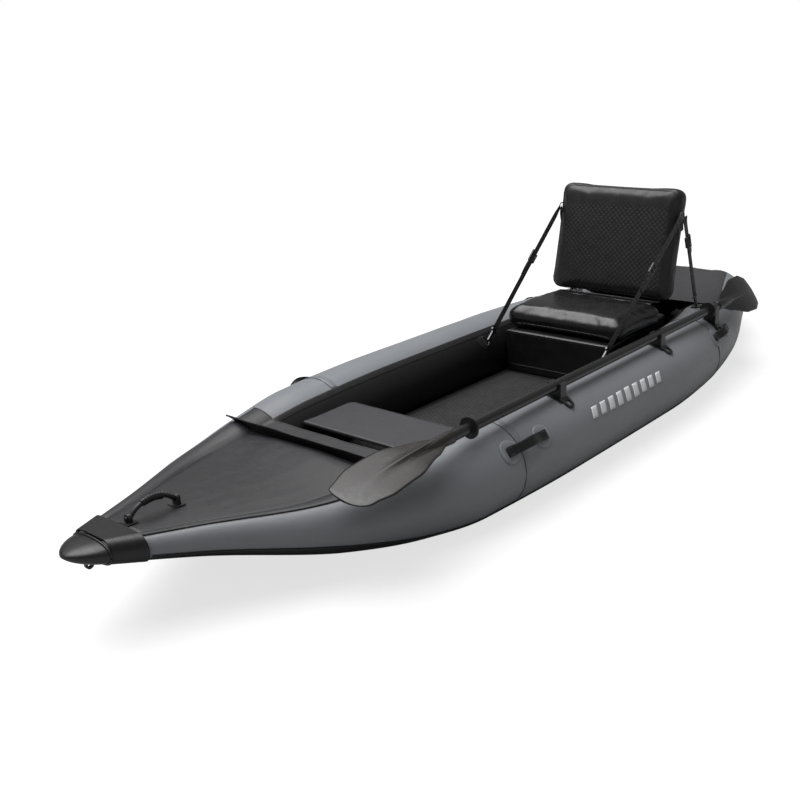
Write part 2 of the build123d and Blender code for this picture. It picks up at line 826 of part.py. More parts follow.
def bow_handle_grip():
    """Ribbed rubber grip round the middle of the carry handle."""
    z = bow_handle_axis() + bow_handle_rise
    ribs = 9
    pitch = bow_grip_length / ribs
    grip = Cylinder(bow_grip_radius - 1.5, bow_grip_length)
    for i in range(ribs):
        grip += Pos(0, 0, (i - (ribs - 1) / 2) * pitch) * Cylinder(bow_grip_radius, 0.55 * pitch)
    grip -= Cylinder(bow_handle_radius + 0.05, 2 * bow_grip_length)
    return Pos(bow_handle_middle, 0, z) * Rot(0, 90, 0) * grip


def bow_handle_eye(side):
    """Eye on the deck that the handle's end turns in."""
    x = bow_handle_middle + side * (bow_handle_span / 2 + 4)
    z = bow_handle_axis()
    pad_half = 14
    deck_top = max(deck_crown(x - pad_half), deck_crown(x + pad_half)) + seat_gap
    eye = Pos(x, 0, z) * Rot(0, 90, 0) * Cylinder(bow_handle_radius + 4, 9)
    foot_height = z - deck_top
    foot = Pos(x, 0, deck_top + foot_height / 2) * Box(9, 2 * (bow_handle_radius + 4), foot_height)
    pad = Pos(x, 0, deck_top + 0.8) * Box(2 * pad_half, 34, 1.6)
    eye = eye + foot + pad
    return eye - Pos(x, 0, z) * Rot(0, 90, 0) * Cylinder(bow_handle_radius + eye_clearance, 60)


# ---------------------------------------------------------------- valves and drain
def valve_body():
    """Valve standing on its own XY plane: a flange and a short neck."""
    flange = Pos(0, 0, 1.5) * Cylinder(valve_flange, 3)
    neck = Pos(0, 0, 3 + valve_height / 2) * Cylinder(valve_radius, valve_height)
    bore = Pos(0, 0, 10) * Cylinder(valve_radius - 6, 14)
    return flange + neck - bore


def valve_cap():
    """Cap that turns on the valve's neck, with two grip wings."""
    base = 3 + 0.4
    shell = Pos(0, 0, base + cap_height / 2) * Cylinder(cap_radius, cap_height)
    pocket_height = valve_height - 0.4 + seat_gap
    pocket = Pos(0, 0, base + pocket_height / 2) * Cylinder(valve_radius + 0.1, pocket_height)
    wing = Pos(0, 0, base + cap_height + 2) * Box(2 * cap_radius - 8, 6, 4)
    return shell - pocket + wing


def tube_valve_place():
    return tube_plane(tube_valve_x, tube_valve_angle, seat_gap + lining_thickness + 3)


def floor_valve_place():
    return Plane(origin=(floor_valve_x, 0, floor_top + seat_gap))


def tube_valve_seat():
    """Welded boss between the chamber's lining and the valve's flat flange."""
    place = tube_valve_place()
    boss = place * Pos(0, 0, -8) * Cylinder(valve_flange, 15.4)
    reach = valve_flange + 15
    return boss - tube_solid(seat_gap + lining_thickness + 0.2, tube_valve_x - reach, tube_valve_x + reach)


def drain_base():
    spacing, height, radius = tube_at(drain_x)
    return height - radius - skin_gap - skin_thickness


def drain_socket():
    """Flanged drain socket through the bottom skin."""
    base = drain_base()
    outer = drain_bore + drain_wall
    height = 16
    body = Pos(0, 0, base + height / 2) * Cylinder(outer, height)
    flange = Pos(0, 0, base + skin_thickness + 3.5) * Cylinder(outer + 12, 3)
    bore = Pos(0, 0, base + height / 2) * Cylinder(drain_bore, 3 * height)
    return Pos(drain_x, 0, 0) * (body + flange - bore)


def drain_plug():
    base = drain_base()
    stem = Pos(0, 0, base + 2 + 8) * Cylinder(drain_bore - 0.08, 15)
    head = Pos(0, 0, base + 16.3 + 3) * Cylinder(drain_bore + drain_wall, 6)
    bar = Pos(0, 0, base + 16.3 + 9) * Box(24, 5, 7)
    return Pos(drain_x, 0, 0) * (stem + head + bar)


# ---------------------------------------------------------------- assembly
def solids_of(shape):
    if isinstance(shape, (list, tuple)):
        found = []
        for piece in shape:
            found += solids_of(piece)
        return found
    return list(shape.solids())


def save(name, *shapes):
    export_step(Compound(children=solids_of(list(shapes))), "parts/" + name + ".step")
    print("saved", name)


def build_hull():
    chamber = side_chamber()
    save("port_chamber", chamber)
    save("starboard_chamber", mirrored(chamber))
    inside = lining()
    save("port_lining", inside)
    save("starboard_lining", mirrored(inside))
    save("bottom_skin", bottom_skin())
    save("bow_deck", bow_deck())
    save("deck_hem", deck_hem())
    save("splash_guard", splash_guard())
    save("deck_panel", deck_panel())
    save("stern_deck", stern_deck())
    save("nose_band", nose_band())
    save("nose_cone", nose_cone())
    save("tow_eye", tow_eye())
    save("floor_chamber", floor_chamber())
    save("floor_mat", floor_mat())


def build_seat():
    save("seat_bench", seat_bench())
    save("seat_base", seat_base())
    save("seat_back", seat_back())
    save("seat_hinge_web", seat_hinge_web())
    save("back_rings", *back_rings())


def build_straps():
    anchors = {
        "front": (front_anchor_x, front_anchor_angle, -1, 0.42),
        "rear": (rear_anchor_x, rear_anchor_angle, 1, 0.3),
    }
    adjusters = []
    hooks = []
    for end, (x, angle, towards, share) in anchors.items():
        patch = patch_on_tube(x, angle, anchor_patch_radius)
        ring = anchor_ring(x, angle, towards)
        webbing = strap(x, angle, towards)
        adjuster = strap_adjuster(x, angle, towards, share)
        hook = strap_hook(x, angle, towards)
        adjusters += [adjuster, mirrored(adjuster)]
        hooks += [hook, mirrored(hook)]
        save(end + "_anchor_patches", patch, mirrored(patch))
        save(end + "_anchor_rings", ring, mirrored(ring))
        save("port_" + end + "_strap", webbing)
        save("starboard_" + end + "_strap", mirrored(webbing))
    save("strap_adjusters", *adjusters)
    save("strap_hooks", *hooks)


def build_paddle():
    save("paddle_front_shaft", shaft_tube(1))
    save("paddle_rear_shaft", shaft_tube(-1))
    save("paddle_ferrule", paddle_ferrule())
    save("paddle_snap_button", snap_button())
    save("paddle_front_blade", blade(1, front_blade_tilt))
    save("paddle_rear_blade", blade(-1, rear_blade_tilt))
    save("front_drip_ring", drip_ring(1))
    save("rear_drip_ring", drip_ring(-1))
    for name, x in clip_places.items():
        save(name + "_paddle_clip", paddle_clip(x))


def build_handles():
    patches = []
    for end, x in side_handle_places.items():
        grip = side_handle(x)
        save("port_" + end + "_handle", grip)
        save("starboard_" + end + "_handle", mirrored(grip))
        for patch in side_handle_patches(x):
            patches += [patch, mirrored(patch)]
    save("side_handle_patches", *patches)
    save("bow_handle", bow_handle())
    save("bow_handle_grip", bow_handle_grip())
    save("bow_handle_eyes", bow_handle_eye(-1), bow_handle_eye(1))


def build_valves():
    port = tube_valve_place() * valve_body()
    cap = tube_valve_place() * valve_cap()
    boss = tube_valve_seat()
    save("tube_valve_bosses", boss, mirrored(boss))
    save("port_valve", port)
    save("starboard_valve", mirrored(port))
    save("port_valve_cap", cap)
    save("starboard_valve_cap", mirrored(cap))
    save("floor_valve", floor_valve_place() * valve_body())
    save("floor_valve_cap", floor_valve_place() * valve_cap())
    save("drain_socket", drain_socket())
    save("drain_plug", drain_plug())


build_hull()
build_seat()
build_straps()
build_paddle()
build_handles()
build_valves()
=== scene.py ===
import json
import math

import bmesh
import bpy
from bpy.props import FloatProperty, FloatVectorProperty, PointerProperty
from mathutils import Matrix, Vector, noise


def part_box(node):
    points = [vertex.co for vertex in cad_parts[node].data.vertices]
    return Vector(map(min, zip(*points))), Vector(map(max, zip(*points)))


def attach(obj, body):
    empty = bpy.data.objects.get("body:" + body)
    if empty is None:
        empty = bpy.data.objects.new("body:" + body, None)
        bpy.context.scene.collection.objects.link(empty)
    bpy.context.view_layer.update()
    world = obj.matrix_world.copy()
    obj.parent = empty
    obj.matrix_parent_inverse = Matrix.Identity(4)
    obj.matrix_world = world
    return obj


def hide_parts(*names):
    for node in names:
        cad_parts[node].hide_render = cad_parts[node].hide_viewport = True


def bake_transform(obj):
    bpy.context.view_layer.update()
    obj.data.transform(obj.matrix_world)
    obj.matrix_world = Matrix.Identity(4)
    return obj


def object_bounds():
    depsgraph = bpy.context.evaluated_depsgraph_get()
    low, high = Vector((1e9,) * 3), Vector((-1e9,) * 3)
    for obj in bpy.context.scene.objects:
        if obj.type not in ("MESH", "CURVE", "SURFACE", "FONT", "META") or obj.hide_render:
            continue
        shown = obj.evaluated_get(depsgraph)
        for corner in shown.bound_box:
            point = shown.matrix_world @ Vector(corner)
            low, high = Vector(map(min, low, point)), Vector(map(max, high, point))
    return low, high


bl_info = {
    "name": "Inflatable kayak",
    "version": (1, 0, 0),
    "blender": (4, 5, 0),
    "location": "3D View > Sidebar > Kayak",
    "description": "Builds the looks of a one-person inflatable kayak around its frame",
    "category": "Object",
}

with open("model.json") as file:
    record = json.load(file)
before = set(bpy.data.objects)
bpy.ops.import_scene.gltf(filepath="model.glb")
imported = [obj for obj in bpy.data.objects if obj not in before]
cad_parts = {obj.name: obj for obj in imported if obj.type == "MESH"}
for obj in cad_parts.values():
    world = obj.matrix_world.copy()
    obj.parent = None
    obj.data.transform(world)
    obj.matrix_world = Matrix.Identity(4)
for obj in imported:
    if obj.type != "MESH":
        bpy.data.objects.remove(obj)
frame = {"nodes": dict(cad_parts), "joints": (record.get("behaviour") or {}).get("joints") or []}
CAD_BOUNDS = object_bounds()
HALF_LENGTH = CAD_BOUNDS[1][0]

# Radius of the chambers' stern ends, as a share of their radius over the cockpit.
STERN_SHARE = 0.758
# Where the bow deck's fold ends, in degrees outboard of the chambers' crests.
DECK_SEAM_ANGLE = 11
# Places along the hull where the chambers are welded round.
WELD_PLACES = (0.58, -0.64)
# From the splash guard back to the free edge of the deck's hem.
HEM_DEPTH = 0.087
# Where the shaft's middle stands, and half of the paddle's length.
SHAFT_Y, SHAFT_Z, PADDLE_MIDDLE, HALF_PADDLE = 0.366, 0.281, 0.03, 1.15
# How far a blade's tip falls from the shaft's line, and where the curve starts.
BLADE_BOW, BLADE_STRAIGHT = 0.03, 0.14
# Radius of a blade's hollow root at distances from its end.
BLADE_ROOT = (
    (0, 0.0172),
    (0.003, 0.0178),
    (0.05, 0.0176),
    (0.075, 0.0168),
    (0.11, 0.0132),
    (0.16, 0.0088),
    (0.205, 0.005),
)
# Gaps left between a blade's tip and its last sections, which close its rounded end.
TIP_GAPS = (0.012, 0.009, 0.0065, 0.0045, 0.003, 0.0018, 0.0009, 0.0003)
CAMERA_PLACE = Vector((2.542, 1.764, 1.164))
CAMERA_FORWARD = Vector((-0.722, -0.598, -0.347)).normalized()
CAMERA_ROLL = math.radians(-1.9)
CAMERA_SHIFT = (-0.046, 0.0195)
# Share of the half-length, of the chambers' spacing and of their radius, then the rise of the underside.
HULL_STATIONS = (
    (-0.848, 0.247, 1.0, 0.009),
    (-0.758, 0.403, 1.024, 0.0045),
    (-0.545, 0.759, 1.008, 0.0),
    (-0.364, 0.935, 1.0, 0.0),
    (-0.182, 1.0, 1.0, 0.0),
    (0.182, 0.988, 1.0, 0.0),
    (0.418, 0.935, 0.976, 0.0),
    (0.545, 0.876, 0.79, 0.0225),
    (0.667, 0.762, 0.548, 0.0625),
    (0.848, 0.353, 0.29, 0.1385),
)
NOSE_STATION = (0.118, 0.185, 0.1735)
SPACING, RADIUS, UNDERSIDE = 1, 2, 3


# ---------------------------------------------------------------- settings
class KayakHullSettings(bpy.types.PropertyGroup):
    """Sizes of the hull"""

    tube_radius: FloatProperty(
        name="Chamber radius", description="Radius of the side chambers at the cockpit",
        default=0.124, min=0.05, max=0.25, subtype="DISTANCE", unit="LENGTH",
    )
    tube_spacing: FloatProperty(
        name="Chamber spacing", description="From the centreline to a chamber's middle at the cockpit",
        default=0.34, min=0.2, max=0.6, subtype="DISTANCE", unit="LENGTH",
    )
    seam_angle: FloatProperty(
        name="Seam angle", description="Inboard of the crest, where lining and deck are welded on",
        default=math.radians(36), subtype="ANGLE", unit="ROTATION",
    )
    skin_angle: FloatProperty(
        name="Bottom skin angle", description="Outboard of the crest, where the bottom skin ends",
        default=math.radians(140), subtype="ANGLE", unit="ROTATION",
    )
    deck_crown: FloatProperty(
        name="Deck crown", description="Rise of the bow deck's middle, as a share of its half-width",
        default=0.05, min=0, max=0.2, subtype="FACTOR",
    )
    guard_x: FloatProperty(
        name="Splash guard", description="Place of the splash guard along the hull",
        default=0.565 * HALF_LENGTH, subtype="DISTANCE", unit="LENGTH",
    )
    weld_width: FloatProperty(
        name="Weld width", description="Width of the welded overlaps on the chambers",
        default=0.024, min=0.005, max=0.06, subtype="DISTANCE", unit="LENGTH",
    )
    mark_height: FloatProperty(
        name="Side mark height", description="Height of the slanted bars on the hull's side",
        default=0.042, min=0.01, max=0.1, subtype="DISTANCE", unit="LENGTH",
    )


class KayakSeatSettings(bpy.types.PropertyGroup):
    """Sizes of the seat"""

    lean: FloatProperty(
        name="Backrest lean", description="Lean of the backrest from upright",
        default=math.radians(12), subtype="ANGLE", unit="ROTATION",
    )
    quilt_pitch: FloatProperty(
        name="Quilt pitch", description="Spacing of the backrest's diagonal stitching",
        default=0.019, min=0.01, max=0.1, subtype="DISTANCE", unit="LENGTH",
    )
    quilt_depth: FloatProperty(
        name="Quilt depth", description="Depth of the stitching in the backrest",
        default=0.0015, min=0, max=0.01, subtype="DISTANCE", unit="LENGTH",
    )
    strap_width: FloatProperty(
        name="Strap width", description="Width of the webbing",
        default=0.025, min=0.01, max=0.06, subtype="DISTANCE", unit="LENGTH",
    )


class KayakPaddleSettings(bpy.types.PropertyGroup):
    """Sizes of the paddle"""

    blade_length: FloatProperty(
        name="Blade length", description="Length of a blade with its socket",
        default=0.38, min=0.2, max=0.6, subtype="DISTANCE", unit="LENGTH",
    )
    blade_half_width: FloatProperty(
        name="Blade half-width", description="Half of a blade's greatest width",
        default=0.076, min=0.04, max=0.12, subtype="DISTANCE", unit="LENGTH",
    )
    spoon: FloatProperty(
        name="Spoon", description="Depth of the blade's hollow face",
        default=0.006, min=0, max=0.02, subtype="DISTANCE", unit="LENGTH",
    )


class KayakColours(bpy.types.PropertyGroup):
    """Base colours"""

    chamber: FloatVectorProperty(
        name="Chamber grey", description="Coated fabric of the side chambers",
        default=(0.19, 0.2, 0.215), size=3, subtype="COLOR", min=0, max=1,
    )
    sheet: FloatVectorProperty(
        name="Deck sheet", description="Coated sheet of deck, hem and lining",
        default=(0.034, 0.034, 0.037), size=3, subtype="COLOR", min=0, max=1,
    )
    seat: FloatVectorProperty(
        name="Seat sheet", description="Coated sheet of the cushions",
        default=(0.012, 0.012, 0.013), size=3, subtype="COLOR", min=0, max=1,
    )
    rubber: FloatVectorProperty(
        name="Rubber", description="Moulded rubber and plastic fittings",
        default=(0.011, 0.011, 0.012), size=3, subtype="COLOR", min=0, max=1,
    )
    blade: FloatVectorProperty(
        name="Blade", description="Moulded blades of the paddle",
        default=(0.016, 0.013, 0.012), size=3, subtype="COLOR", min=0, max=1,
    )
    mark: FloatVectorProperty(
        name="Side mark", description="Printed bars on the hull's side",
        default=(0.62, 0.63, 0.65), size=3, subtype="COLOR", min=0, max=1,
    )


class KayakStageSettings(bpy.types.PropertyGroup):
    """Camera and light"""

    lens: FloatProperty(
        name="Lens", description="Focal length of the camera",
        default=44.0, min=10, max=200, subtype="DISTANCE_CAMERA", unit="CAMERA",
    )
    key_power: FloatProperty(
        name="Key light", description="Power of the large light overhead",
        default=60, min=0, max=3000, subtype="POWER", unit="POWER",
    )
    sky: FloatProperty(
        name="Sky light", description="Strength of the even light from above",
        default=2.6, min=0, max=20,
    )
    surround: FloatProperty(
        name="Surround", description="Strength of the light from all round",
        default=0.22, min=0, max=3,
    )
    floor_size: FloatProperty(
        name="Floor size", description="Side of the pale floor",
        default=60, min=5, max=200, subtype="DISTANCE", unit="LENGTH",
    )


SETTINGS = (
    ("kayak_hull", KayakHullSettings),
    ("kayak_seat", KayakSeatSettings),
    ("kayak_paddle", KayakPaddleSettings),
    ("kayak_colours", KayakColours),
    ("kayak_stage", KayakStageSettings),
)


def settings(name):
    return getattr(bpy.context.scene, name)


# ---------------------------------------------------------------- hull lines
class HullLines:
    """Faired lines of the port chamber, in metres"""

    def __init__(self, hull):
        flat = 0.0036
        stern_radius = STERN_SHARE * hull.tube_radius
        spacing, rise = 0.053 * hull.tube_spacing, flat + 0.018
        self.rows = [(stern_radius - HALF_LENGTH, spacing, stern_radius, rise)]
        for x, y, r, z in HULL_STATIONS:
            self.rows.append((x * HALF_LENGTH, y * hull.tube_spacing, r * hull.tube_radius, flat + z))
        y, r, z = NOSE_STATION
        self.rows.append((HALF_LENGTH - 0.075, y * hull.tube_spacing, r * hull.tube_radius, flat + z))
        self.slopes = {c: self.fair_slopes(c) for c in (SPACING, RADIUS, UNDERSIDE)}
        self.stern, self.bow = self.rows[0][0], self.rows[-1][0]

    def fair_slopes(self, column):
        steps = [(b[column] - a[column]) / (b[0] - a[0]) for a, b in zip(self.rows, self.rows[1:])]
        slopes = [steps[0]]
        for before, after in zip(steps, steps[1:]):
            slopes.append(0 if before * after <= 0 else 2 * before * after / (before + after))
        return slopes + [steps[-1]]

    def faired(self, x, column):
        i = 0
        while i < len(self.rows) - 2 and x > self.rows[i + 1][0]:
            i += 1
        a, b = self.rows[i], self.rows[i + 1]
        h = b[0] - a[0]
        t = (x - a[0]) / h
        m0, m1 = self.slopes[column][i], self.slopes[column][i + 1]
        return (
            (2 * t**3 - 3 * t**2 + 1) * a[column] + (t**3 - 2 * t**2 + t) * h * m0
            + (3 * t**2 - 2 * t**3) * b[column] + (t**3 - t**2) * h * m1
        )

    def tube(self, x):
        radius = self.faired(x, RADIUS)
        return self.faired(x, SPACING), self.faired(x, UNDERSIDE) + radius, radius

    def on_tube(self, x, angle, offset=0.0):
        """Point on the port chamber; the angle in degrees is from the crest, positive outboard."""
        spacing, height, radius = self.tube(x)
        a = math.radians(angle)
        r = radius + offset
        return Vector((x, spacing + r * math.sin(a), height + r * math.cos(a)))

    def plane(self, x, angle, offset=0.0):
        """Matrix of a plane on the port chamber: x along the boat, z outwards."""
        along = (self.on_tube(x + 0.001, angle, offset) - self.on_tube(x - 0.001, angle, offset)).normalized()
        a = math.radians(angle)
        out = Vector((0, math.sin(a), math.cos(a)))
        out = (out - along * out.dot(along)).normalized()
        across = out.cross(along)
        turn = Matrix((along, across, out)).transposed().to_4x4()
        return Matrix.Translation(self.on_tube(x, angle, offset)) @ turn

    def wall(self, x, z, clearance):
        """Distance from the centreline to the chamber's inner wall at height z."""
        spacing, height, radius = self.tube(x)
        radius += clearance
        drop = min(abs(z - height), radius)
        return spacing - math.sqrt(radius**2 - drop**2)


def lines():
    return HullLines(settings("kayak_hull"))


def spread(start, end, step):
    count = max(2, round(abs(end - start) / step) + 1)
    return [start + (end - start) * i / (count - 1) for i in range(count)]


def flip(p):
    return Vector((p[0], -p[1], p[2]))


# ---------------------------------------------------------------- mesh helpers
def mesh_piece(name, points, faces, materials, smooth=True, groups=None):
    """A mesh object in the frame's own coordinates."""
    mesh = bpy.data.meshes.new(name)
    mesh.from_pydata([tuple(p) for p in points], [], faces)
    mesh.update()
    for m in materials if isinstance(materials, (list, tuple)) else [materials]:
        mesh.materials.append(m)
    if groups:
        mesh.polygons.foreach_set("material_index", groups)
    if smooth:
        mesh.polygons.foreach_set("use_smooth", [True] * len(mesh.polygons))
    piece = bpy.data.objects.new(name, mesh)
    bpy.context.scene.collection.objects.link(piece)
    return piece


def recalculated(piece):
    """Faces turned outwards."""
    bm = bmesh.new()
    bm.from_mesh(piece.data)
    bmesh.ops.remove_doubles(bm, verts=bm.verts, dist=1e-6)
    bmesh.ops.recalc_face_normals(bm, faces=bm.faces)
    bm.to_mesh(piece.data)
    bm.free()
    return piece


def grid_faces(rows, columns, wrap=False, first=0):
    faces = []
    span = columns if wrap else columns - 1
    for i in range(rows - 1):
        for j in range(span):
            a = first + i * columns + j
            b = first + i * columns + (j + 1) % columns
            faces.append((a, b, b + columns, a + columns))
    return faces


def lofted(name, rings, material, caps=True):
    """Closed rings of equal length, joined into one skin."""
    count = len(rings[0])
    points = [p for ring in rings for p in ring]
    faces = grid_faces(len(rings), count, wrap=True)
    if caps:
        faces.append(tuple(reversed(range(count))))
        faces.append(tuple(range(len(points) - count, len(points))))
    return recalculated(mesh_piece(name, points, faces, material))


def thick_sheet(name, rows, thickness, material, rim=0.0):
    """A sheet from rows of points with a real thickness and slightly rounded rims."""
    points = [p for row in rows for p in row]
    piece = mesh_piece(name, points, grid_faces(len(rows), len(rows[0])), material)
    solid = piece.modifiers.new("thickness", "SOLIDIFY")
    solid.thickness = thickness
    solid.offset = 0
    if rim:
        bevel = piece.modifiers.new("rim", "BEVEL")
        bevel.width = rim
        bevel.segments = 2
        bevel.limit_method = "ANGLE"
        bevel.angle_limit = math.radians(60)
    return piece


def tube_along(name, path, radius, material, sides=12, closed=False):
    """A round bead along a path."""
    rings = []
    count = len(path)
    for i, p in enumerate(path):
        ahead = path[(i + 1) % count] if closed else path[min(i + 1, count - 1)]
        behind = path[i - 1] if closed or i else path[0]
        along = (Vector(ahead) - Vector(behind)).normalized()
        side = along.cross(Vector((0, 0, 1)))
        if side.length < 0.05:
            side = along.cross(Vector((0, 1, 0)))
        side.normalize()
        up = side.cross(along).normalized()
        ring = []
        for k in range(sides):
            a = 2 * math.pi * k / sides
            ring.append(Vector(p) + side * (radius * math.cos(a)) + up * (radius * math.sin(a)))
        rings.append(ring)
    if closed:
        points = [q for ring in rings for q in ring] + list(rings[0])
        piece = mesh_piece(name, points, grid_faces(count + 1, sides, wrap=True), material)
        return recalculated(piece)
    return lofted(name, rings, material)


def ribbon(name, path, across, width, thickness, material, round_edge=0.35):
    """Webbing along a path; across gives the direction of its width at each point."""
    rings = []
    for i, p in enumerate(path):
        ahead = path[min(i + 1, len(path) - 1)]
        behind = path[max(i - 1, 0)]
        along = (Vector(ahead) - Vector(behind)).normalized()
        wide = Vector(across[i] if isinstance(across, list) else across)
        wide = (wide - along * wide.dot(along)).normalized()
        up = along.cross(wide)
        half, edge = width / 2, thickness / 2
        shape = [
            (-half, -edge * round_edge), (-half + edge, -edge), (-half / 2, -edge), (0, -edge),
            (half / 2, -edge), (half - edge, -edge), (half, -edge * round_edge),
            (half, edge * round_edge), (half - edge, edge), (half / 2, edge), (0, edge),
            (-half / 2, edge), (-half + edge, edge), (-half, edge * round_edge),
        ]
        rings.append([Vector(p) + wide * a + up * b for a, b in shape])
    return lofted(name, rings, material)


def slab(name, outline, low, high, rim, material, segments=4):
    """A plate with rounded rims from an outline in plan."""
    bm = bmesh.new()
    base = [bm.verts.new((x, y, low)) for x, y in outline]
    face = bm.faces.new(base)
    top = bmesh.ops.extrude_face_region(bm, geom=[face])
    for v in top["geom"]:
        if isinstance(v, bmesh.types.BMVert):
            v.co.z = high
    bmesh.ops.recalc_face_normals(bm, faces=bm.faces)
    mesh = bpy.data.meshes.new(name)
    bm.to_mesh(mesh)
    bm.free()
    mesh.materials.append(material)
    mesh.polygons.foreach_set("use_smooth", [True] * len(mesh.polygons))
    piece = bpy.data.objects.new(name, mesh)
    bpy.context.scene.collection.objects.link(piece)
    bevel = piece.modifiers.new("rim", "BEVEL")
    bevel.width = rim
    bevel.segments = segments
    bevel.limit_method = "ANGLE"
    bevel.angle_limit = math.radians(50)
    normals = piece.modifiers.new("normals", "WEIGHTED_NORMAL")
    normals.keep_sharp = True
    return piece


def applied(piece):
    """Modifiers made part of the mesh."""
    bpy.context.view_layer.update()
    graph = bpy.context.evaluated_depsgraph_get()
    mesh = bpy.data.meshes.new_from_object(piece.evaluated_get(graph))
    piece.modifiers.clear()
    piece.data = mesh
    return piece


def mirrored_copy(piece, name):
    copy = piece.copy()
    copy.data = piece.data.copy()
    copy.name = name
    copy.data.name = name
    bpy.context.scene.collection.objects.link(copy)
    bm = bmesh.new()
    bm.from_mesh(copy.data)
    for v in bm.verts:
        v.co.y = -v.co.y
    bmesh.ops.reverse_faces(bm, faces=bm.faces)
    bm.to_mesh(copy.data)
    bm.free()
    return copy


def wave(p, scale, seed=0.0):
    """Smooth noise between -1 and 1 at a point."""
    return noise.noise(Vector((p[0] / scale + seed, p[1] / scale, p[2] / scale)))


# ---------------------------------------------------------------- materials
class Nodes:
    """A material's node tree, built up step by step."""

    def __init__(self, name, base, roughness, **shader):
        self.material = bpy.data.materials.new(name)
        self.material.use_nodes = True
        self.tree = self.material.node_tree
        self.tree.nodes.clear()
        self.out = self.add("ShaderNodeOutputMaterial")
        self.shader = self.add("ShaderNodeBsdfPrincipled")
        self.link(self.shader.outputs["BSDF"], self.out.inputs["Surface"])
        self.shader.inputs["Base Color"].default_value = (*base, 1)
        self.shader.inputs["Roughness"].default_value = roughness
        for socket, value in shader.items():
            self.shader.inputs[socket.replace("_", " ")].default_value = value
        self.place = self.add("ShaderNodeTexCoord").outputs["Object"]
        self.height = None

    def add(self, kind, **values):
        node = self.tree.nodes.new(kind)
        for key, value in values.items():
            setattr(node, key, value)
        return node

    def link(self, a, b):
        self.tree.links.new(a, b)

    def mapped(self, scale=(1, 1, 1), turn=(0, 0, 0), source=None):
        node = self.add("ShaderNodeMapping")
        node.inputs["Scale"].default_value = scale
        node.inputs["Rotation"].default_value = turn
        self.link(source or self.place, node.inputs["Vector"])
        return node.outputs["Vector"]

    def noise(self, scale, detail=3, rough=0.55, vector=None):
        node = self.add("ShaderNodeTexNoise")
        node.inputs["Scale"].default_value = scale
        node.inputs["Detail"].default_value = detail
        node.inputs["Roughness"].default_value = rough
        self.link(vector or self.place, node.inputs["Vector"])
        return node.outputs["Fac"]

    def waves(self, scale, direction, vector=None, profile="SIN", distortion=0.0):
        node = self.add("ShaderNodeTexWave", wave_profile=profile, bands_direction=direction)
        node.inputs["Scale"].default_value = scale
        node.inputs["Distortion"].default_value = distortion
        self.link(vector or self.place, node.inputs["Vector"])
        return node.outputs["Fac"]

    def math(self, operation, a, b=None):
        node = self.add("ShaderNodeMath", operation=operation)
        for socket, value in zip(node.inputs, (a, b)):
            if value is None:
                continue
            if isinstance(value, (int, float)):
                socket.default_value = value
            else:
                self.link(value, socket)
        return node.outputs[0]

    def ramp(self, source, stops):
        node = self.add("ShaderNodeValToRGB")
        while len(node.color_ramp.elements) < len(stops):
            node.color_ramp.elements.new(0.5)
        for element, (place, colour) in zip(node.color_ramp.elements, stops):
            element.position = place
            element.color = (*colour, 1)
        self.link(source, node.inputs["Fac"])
        return node.outputs["Color"]

    def varied_colour(self, source, low, high, spread_share=0.25):
        colour = self.ramp(source, [(0.5 - spread_share, low), (0.5 + spread_share, high)])
        self.link(colour, self.shader.inputs["Base Color"])
        return colour

    def varied_roughness(self, source, low, high):
        node = self.add("ShaderNodeMapRange")
        node.inputs["From Min"].default_value = 0.3
        node.inputs["From Max"].default_value = 0.7
        node.inputs["To Min"].default_value = low
        node.inputs["To Max"].default_value = high
        self.link(source, node.inputs["Value"])
        self.link(node.outputs["Result"], self.shader.inputs["Roughness"])

    def bump(self, source, depth, strength=1.0):
        node = self.add("ShaderNodeBump")
        node.inputs["Strength"].default_value = strength
        node.inputs["Distance"].default_value = depth
        self.link(source, node.inputs["Height"])
        if self.height is not None:
            self.link(self.height, node.inputs["Normal"])
        self.height = node.outputs["Normal"]
        self.link(self.height, self.shader.inputs["Normal"])


MADE = {}


def shade(colour, share):
    return tuple(min(1, c * share) for c in colour)


def coated_fabric(name, colour, roughness, weave=0.0011, variation=0.08, wrinkle=0.0006, sheen=0.0):
    """Welded coated cloth: faint weave print-through, soft creases and scuffs."""
    if name in MADE:
        return MADE[name]
    n = Nodes(name, colour, roughness, Specular_IOR_Level=0.45)
    if sheen:
        n.shader.inputs["Sheen Weight"].default_value = sheen
    cloud = n.noise(3.2, 5)
    n.varied_colour(cloud, shade(colour, 1 - variation), shade(colour, 1 + variation))
    scuff = n.noise(38, 4, 0.7)
    n.varied_roughness(scuff, roughness - 0.05, roughness + 0.07)
    pitch = 1 / weave / 6.2832
    warp = n.waves(pitch * 3.14, "X")
    weft = n.waves(pitch * 3.14, "Y")
    up = n.waves(pitch * 3.14, "Z")
    n.bump(n.math("ADD", n.math("MULTIPLY", warp, weft), up), 0.00006, 0.5)
    n.bump(n.noise(9, 3), wrinkle * 3, 0.35)
    MADE[name] = n.material
    return n.material


def gloss_sheet(name, colour, roughness):
    """Smooth heavy coated sheet with a leathery grain and gentle pulls."""
    if name in MADE:
        return MADE[name]
    n = Nodes(name, colour, roughness, Specular_IOR_Level=0.5)
    n.varied_colour(n.noise(6, 4), shade(colour, 0.8), shade(colour, 1.25))
    n.varied_roughness(n.noise(26, 4, 0.65), roughness - 0.06, roughness + 0.1)
    grain = n.add("ShaderNodeTexVoronoi", feature="DISTANCE_TO_EDGE")
    grain.inputs["Scale"].default_value = 520
    n.link(n.place, grain.inputs["Vector"])
    n.bump(grain.outputs["Distance"], 0.00012, 0.5)
    n.bump(n.noise(14, 2), 0.0011, 0.3)
    MADE[name] = n.material
    return n.material


